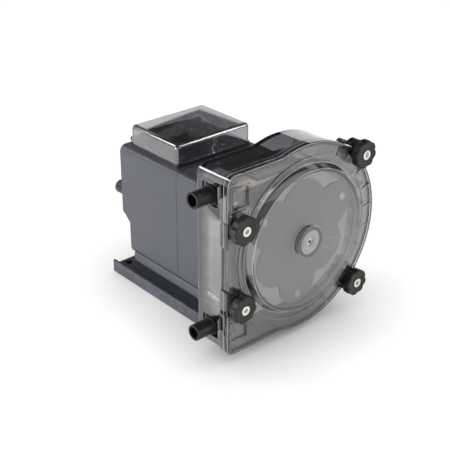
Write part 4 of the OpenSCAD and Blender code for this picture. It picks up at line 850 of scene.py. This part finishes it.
# Pumping tube.
# One length of tan elastomer tube lies along the track from fitting to fitting. It is round
# at both ends and pressed flat where the rollers run.
def elastomer(name, colour, inner, rough):
    """Soft translucent rubber: light scatters in it, and its skin has a slow cloudy tone."""
    paint = plastic(name, colour, rough, grain=0.0007, bump=0.05, tone=0.1)
    shader = paint.node_tree.nodes["Principled BSDF"]
    shader.inputs["Subsurface Weight"].default_value = 0.35
    shader.inputs["Subsurface Radius"].default_value = inner
    shader.inputs["Subsurface Scale"].default_value = 0.002
    return paint


tube_y, port_z, tube_r, tube_wall = -90.5, 55.4, 5.0, 2.3
nip = 1.7 * tube_wall
pressed_width = (2 * tube_r - nip) * math.pi / 2 + nip
line_r = port_z + tube_r - nip / 2
press_x, round_x, tube_end = -8.0, -31.0, -59.8
ring_steps, leg_steps, track_steps = 40, 8, 60
least_bore = 0.5


def tube_ring(thick, wide):
    """Points round a flat oval, thin in the radial direction and wide along Y."""
    radius, straight = thick / 2, (wide - thick) / 2
    ring = []
    for k in range(ring_steps):
        a = 2 * math.pi * (k + 0.5) / ring_steps
        shift = straight if math.sin(a) > 0 else -straight
        ring.append((radius * math.cos(a), radius * math.sin(a) + shift))
    return ring


def tube_route():
    """Stations along the tube: place, outward direction and how far it is pressed flat."""
    leg = []
    for x in (tube_end, -52, -44, -37):
        leg.append((x, port_z, 0.0))
    for k in range(leg_steps + 1):
        share = k / leg_steps
        ease = share * share * (3 - 2 * share)
        leg.append((round_x + (press_x - round_x) * share, port_z + (line_r - port_z) * ease, ease))
    route = [(Vector((x, 0, z)), Vector((0, 0, 1)), flat) for x, z, flat in leg]
    for k in range(track_steps + 1):
        a = math.pi / 2 - math.pi * k / track_steps
        out = Vector((math.cos(a), 0, math.sin(a)))
        route.append((out * line_r, out, 1.0))
    route += [(Vector((x, 0, -z)), Vector((0, 0, -1)), flat) for x, z, flat in reversed(leg)]
    return route


def tube_drawing():
    """Outer and inner skin of the tube along its route, closed by a ring at each end."""
    drawing = bmesh.new()
    skins = []
    for wall in (0.0, tube_wall):
        rows = []
        for middle, out, flat in tube_route():
            full = 2 * (tube_r - wall)
            thin, broad = max(nip - 2 * wall, least_bore), pressed_width - (nip if wall else 0)
            ring = tube_ring(full + (thin - full) * flat, full + (broad - full) * flat)
            rows.append([drawing.verts.new((middle + out * a + Vector((0, tube_y + b, rotor_z))) * MM)
                         for a, b in ring])
        skins.append(rows)
    for rows in skins:
        for low, high in zip(rows, rows[1:]):
            for k in range(ring_steps):
                after = (k + 1) % ring_steps
                drawing.faces.new([low[k], low[after], high[after], high[k]])
    for end in (0, -1):
        outer, inner = skins[0][end], skins[1][end]
        for k in range(ring_steps):
            after = (k + 1) % ring_steps
            drawing.faces.new([outer[k], outer[after], inner[after], inner[k]])
    bmesh.ops.recalc_face_normals(drawing, faces=drawing.faces)
    return drawing


tan_rubber = elastomer("tan_elastomer", (0.60, 0.53, 0.41), (1.0, 0.8, 0.55), 0.42)
piece("pumping_tube", tube_drawing(), tan_rubber, "housing", ["pump_tube"])

# Port fittings and clamps.
# Dark moulded blocks slide into pockets of the shell, with a plain stub for the hose outside
# and a tail inside that the tube is clamped on with a steel strip.
fitting_plastic = plastic("fitting_plastic", (0.018, 0.018, 0.020), 0.42, grain=0.0005, bump=0.1,
                          worn=(0.09, 0.09, 0.095), amount=0.4, ior=1.33)
for side in ("upper", "lower"):
    stub = piece(side + "_port", whole_copy(side + "_fitting"), fitting_plastic, "housing",
                 [side + "_fitting"])
    round_edges(stub, 0.45, steps=3)
clamps = piece("tube_rings", whole_copy("tube_clamps"), pressed_steel, "housing",
               ["tube_clamps"])
round_edges(clamps, 0.15)

# Clamp knobs.
# Four black fluted knobs moulded round a plated insert with a hexagon socket. Each screws
# down on its own stud through the cover.
knob_r, knob_flutes, flute_r, flute_offset, flute_turn = 11.5, 8, 4.6, 3.5, 12.0
knob_back, grip_back, knob_front = -110.6, -112.8, -119.3
ear_r, ear_angle = 80.5, math.radians(45.4)
ear_across, ear_up = ear_r * math.cos(ear_angle), ear_r * math.sin(ear_angle)
knob_places = {
    "upper_left": (-68.3, 33.0), "lower_left": (-68.3, -33.0),
    "upper_right": (ear_across, ear_up), "lower_right": (ear_across, -ear_up),
}


def flute_tree():
    """Geometry nodes that cut flutes in a turned blank: points inside a flute's circle go to its edge."""
    tree = bpy.data.node_groups.new("fluted_grip", "GeometryNodeTree")
    face = tree.interface
    face.new_socket("Blank", in_out="INPUT", socket_type="NodeSocketGeometry")
    for name in ("Grip Radius", "Flute Radius", "Flute Offset", "Turn"):
        face.new_socket(name, in_out="INPUT", socket_type="NodeSocketFloat").default_value = 0.01
    face.new_socket("Flutes", in_out="INPUT", socket_type="NodeSocketInt").default_value = 8
    face.new_socket("Finish", in_out="INPUT", socket_type="NodeSocketMaterial")
    face.new_socket("Knob", in_out="OUTPUT", socket_type="NodeSocketGeometry")
    given = node(tree, "NodeGroupInput").outputs

    def sum_of(kind, *values):
        return sums(tree, kind, *values)

    place = node(tree, "GeometryNodeInputPosition").outputs[0]
    split = node(tree, "ShaderNodeSeparateXYZ", {0: place}).outputs
    level = node(tree, "ShaderNodeCombineXYZ", {"X": split["X"], "Y": split["Y"]})
    out = node(tree, "ShaderNodeVectorMath", {0: level.outputs[0]}, operation="LENGTH").outputs["Value"]
    pitch = sum_of("DIVIDE", 2 * math.pi, given["Flutes"])
    angle = sum_of("SUBTRACT", sum_of("ARCTAN2", split["Y"], split["X"]), given["Turn"])
    half = sum_of("MULTIPLY", pitch, 0.5)
    off = sum_of("SUBTRACT", sum_of("FLOORED_MODULO", sum_of("ADD", angle, half), pitch), half)
    middle = sum_of("ADD", given["Grip Radius"], given["Flute Offset"])
    across = sum_of("MULTIPLY", middle, sum_of("SINE", off))
    chord = sum_of("SUBTRACT", sum_of("MULTIPLY", given["Flute Radius"], given["Flute Radius"]),
                   sum_of("MULTIPLY", across, across))
    cut = sum_of("SUBTRACT", sum_of("MULTIPLY", middle, sum_of("COSINE", off)),
                 sum_of("SQRT", sum_of("MAXIMUM", chord, 0.0)))
    limit = sum_of("SUBTRACT", given["Grip Radius"], cut)
    deep = sum_of("MULTIPLY", sum_of("MAXIMUM", limit, 0.0), sum_of("GREATER_THAN", chord, 0.0))
    rim = node(tree, "GeometryNodeInputNamedAttribute", {"Name": "rim"}, data_type="FLOAT").outputs[0]
    pull = sum_of("MULTIPLY", deep, rim)
    scale = sum_of("DIVIDE", sum_of("SUBTRACT", out, pull), sum_of("MAXIMUM", out, 0.00001))
    grow = node(tree, "ShaderNodeCombineXYZ", {"X": scale, "Y": scale, "Z": 1.0})
    fluted = node(tree, "ShaderNodeVectorMath", {0: place, 1: grow.outputs[0]}, operation="MULTIPLY")
    moved = node(tree, "GeometryNodeSetPosition", {
        "Geometry": given["Blank"], "Position": fluted.outputs[0]})
    return tree_end(tree, moved.outputs[0], given["Finish"])


ring_r, flat_r, flute_fade = 3.0, 8.6, 1.2
knob_height = knob_back - knob_front
grip_low = knob_back - grip_back
knob_profile = (
    [(2.4, 0), (7.6, 0)] + arc(7.6, 0.9, 0.9, -90, 0, 4) + [(8.5, grip_low)]
    + [(knob_r - 1.6, grip_low)] + arc(knob_r - 0.9, grip_low + 0.9, 0.9, -90, 0, 5)
    + arc(knob_r - 1.3, knob_height - 1.3, 1.3, 0, 90, 6) + [(knob_r - 3.4, knob_height)]
    + [(knob_r - 3.9, knob_height - 0.25), (3.5, knob_height - 0.25), (ring_r, knob_height - 0.4)]
    + [(ring_r, knob_height - 0.56), (3.98, knob_height - 0.58)]
    + [(3.98, knob_height - 2.7), (2.4, knob_height - 2.7), (2.4, 0)])
knob_black = plastic("knob_black", (0.020, 0.020, 0.0195), 0.46, grain=0.0006, bump=0.22, tone=0.2,
                     worn=(0.08, 0.08, 0.076), amount=0.6, ior=1.36)
fluted_grip = flute_tree()
for name, (across, up) in knob_places.items():
    blank = turned(knob_profile, steps=160)
    bmesh.ops.remove_doubles(blank, verts=blank.verts, dist=0.000001)
    rim = blank.verts.layers.float.new("rim")
    for point in blank.verts:
        past_disc = (math.hypot(point.co.x, point.co.y) / MM - flat_r) / flute_fade
        in_grip = point.co.z / MM > grip_low - 0.01
        point[rim] = min(1.0, max(0.0, past_disc)) if in_grip else 0.0
    blank_mesh = bpy.data.meshes.new("knob_blank")
    blank.to_mesh(blank_mesh)
    blank.free()
    knob = grown(name + "_grip", fluted_grip, blank_mesh, knob_black, name + "_knob", "knob_plastic",
                 ["knob_" + name], **{"Grip Radius": knob_r * MM, "Flute Radius": flute_r * MM,
                                      "Flute Offset": flute_offset * MM,
                                      "Turn": math.radians(flute_turn), "Flutes": knob_flutes})
    knob.data.transform(Matrix.Translation(Vector((across, knob_back, rotor_z + up)) * MM)
                        @ Matrix.Rotation(math.pi / 2, 4, "X"))

# Knob inserts.
# Plated steel studs with a hexagon socket, held in the knobs. The bright ring round the
# socket is what shows on the face of each knob.
nickel = turned_metal("nickel_plate", (0.72, 0.70, 0.64), 0.22)
for name in knob_places:
    stud = piece(name + "_insert", whole_copy("stud_" + name), nickel, name + "_knob",
                 ["stud_" + name])
    round_edges(stud, 0.3)
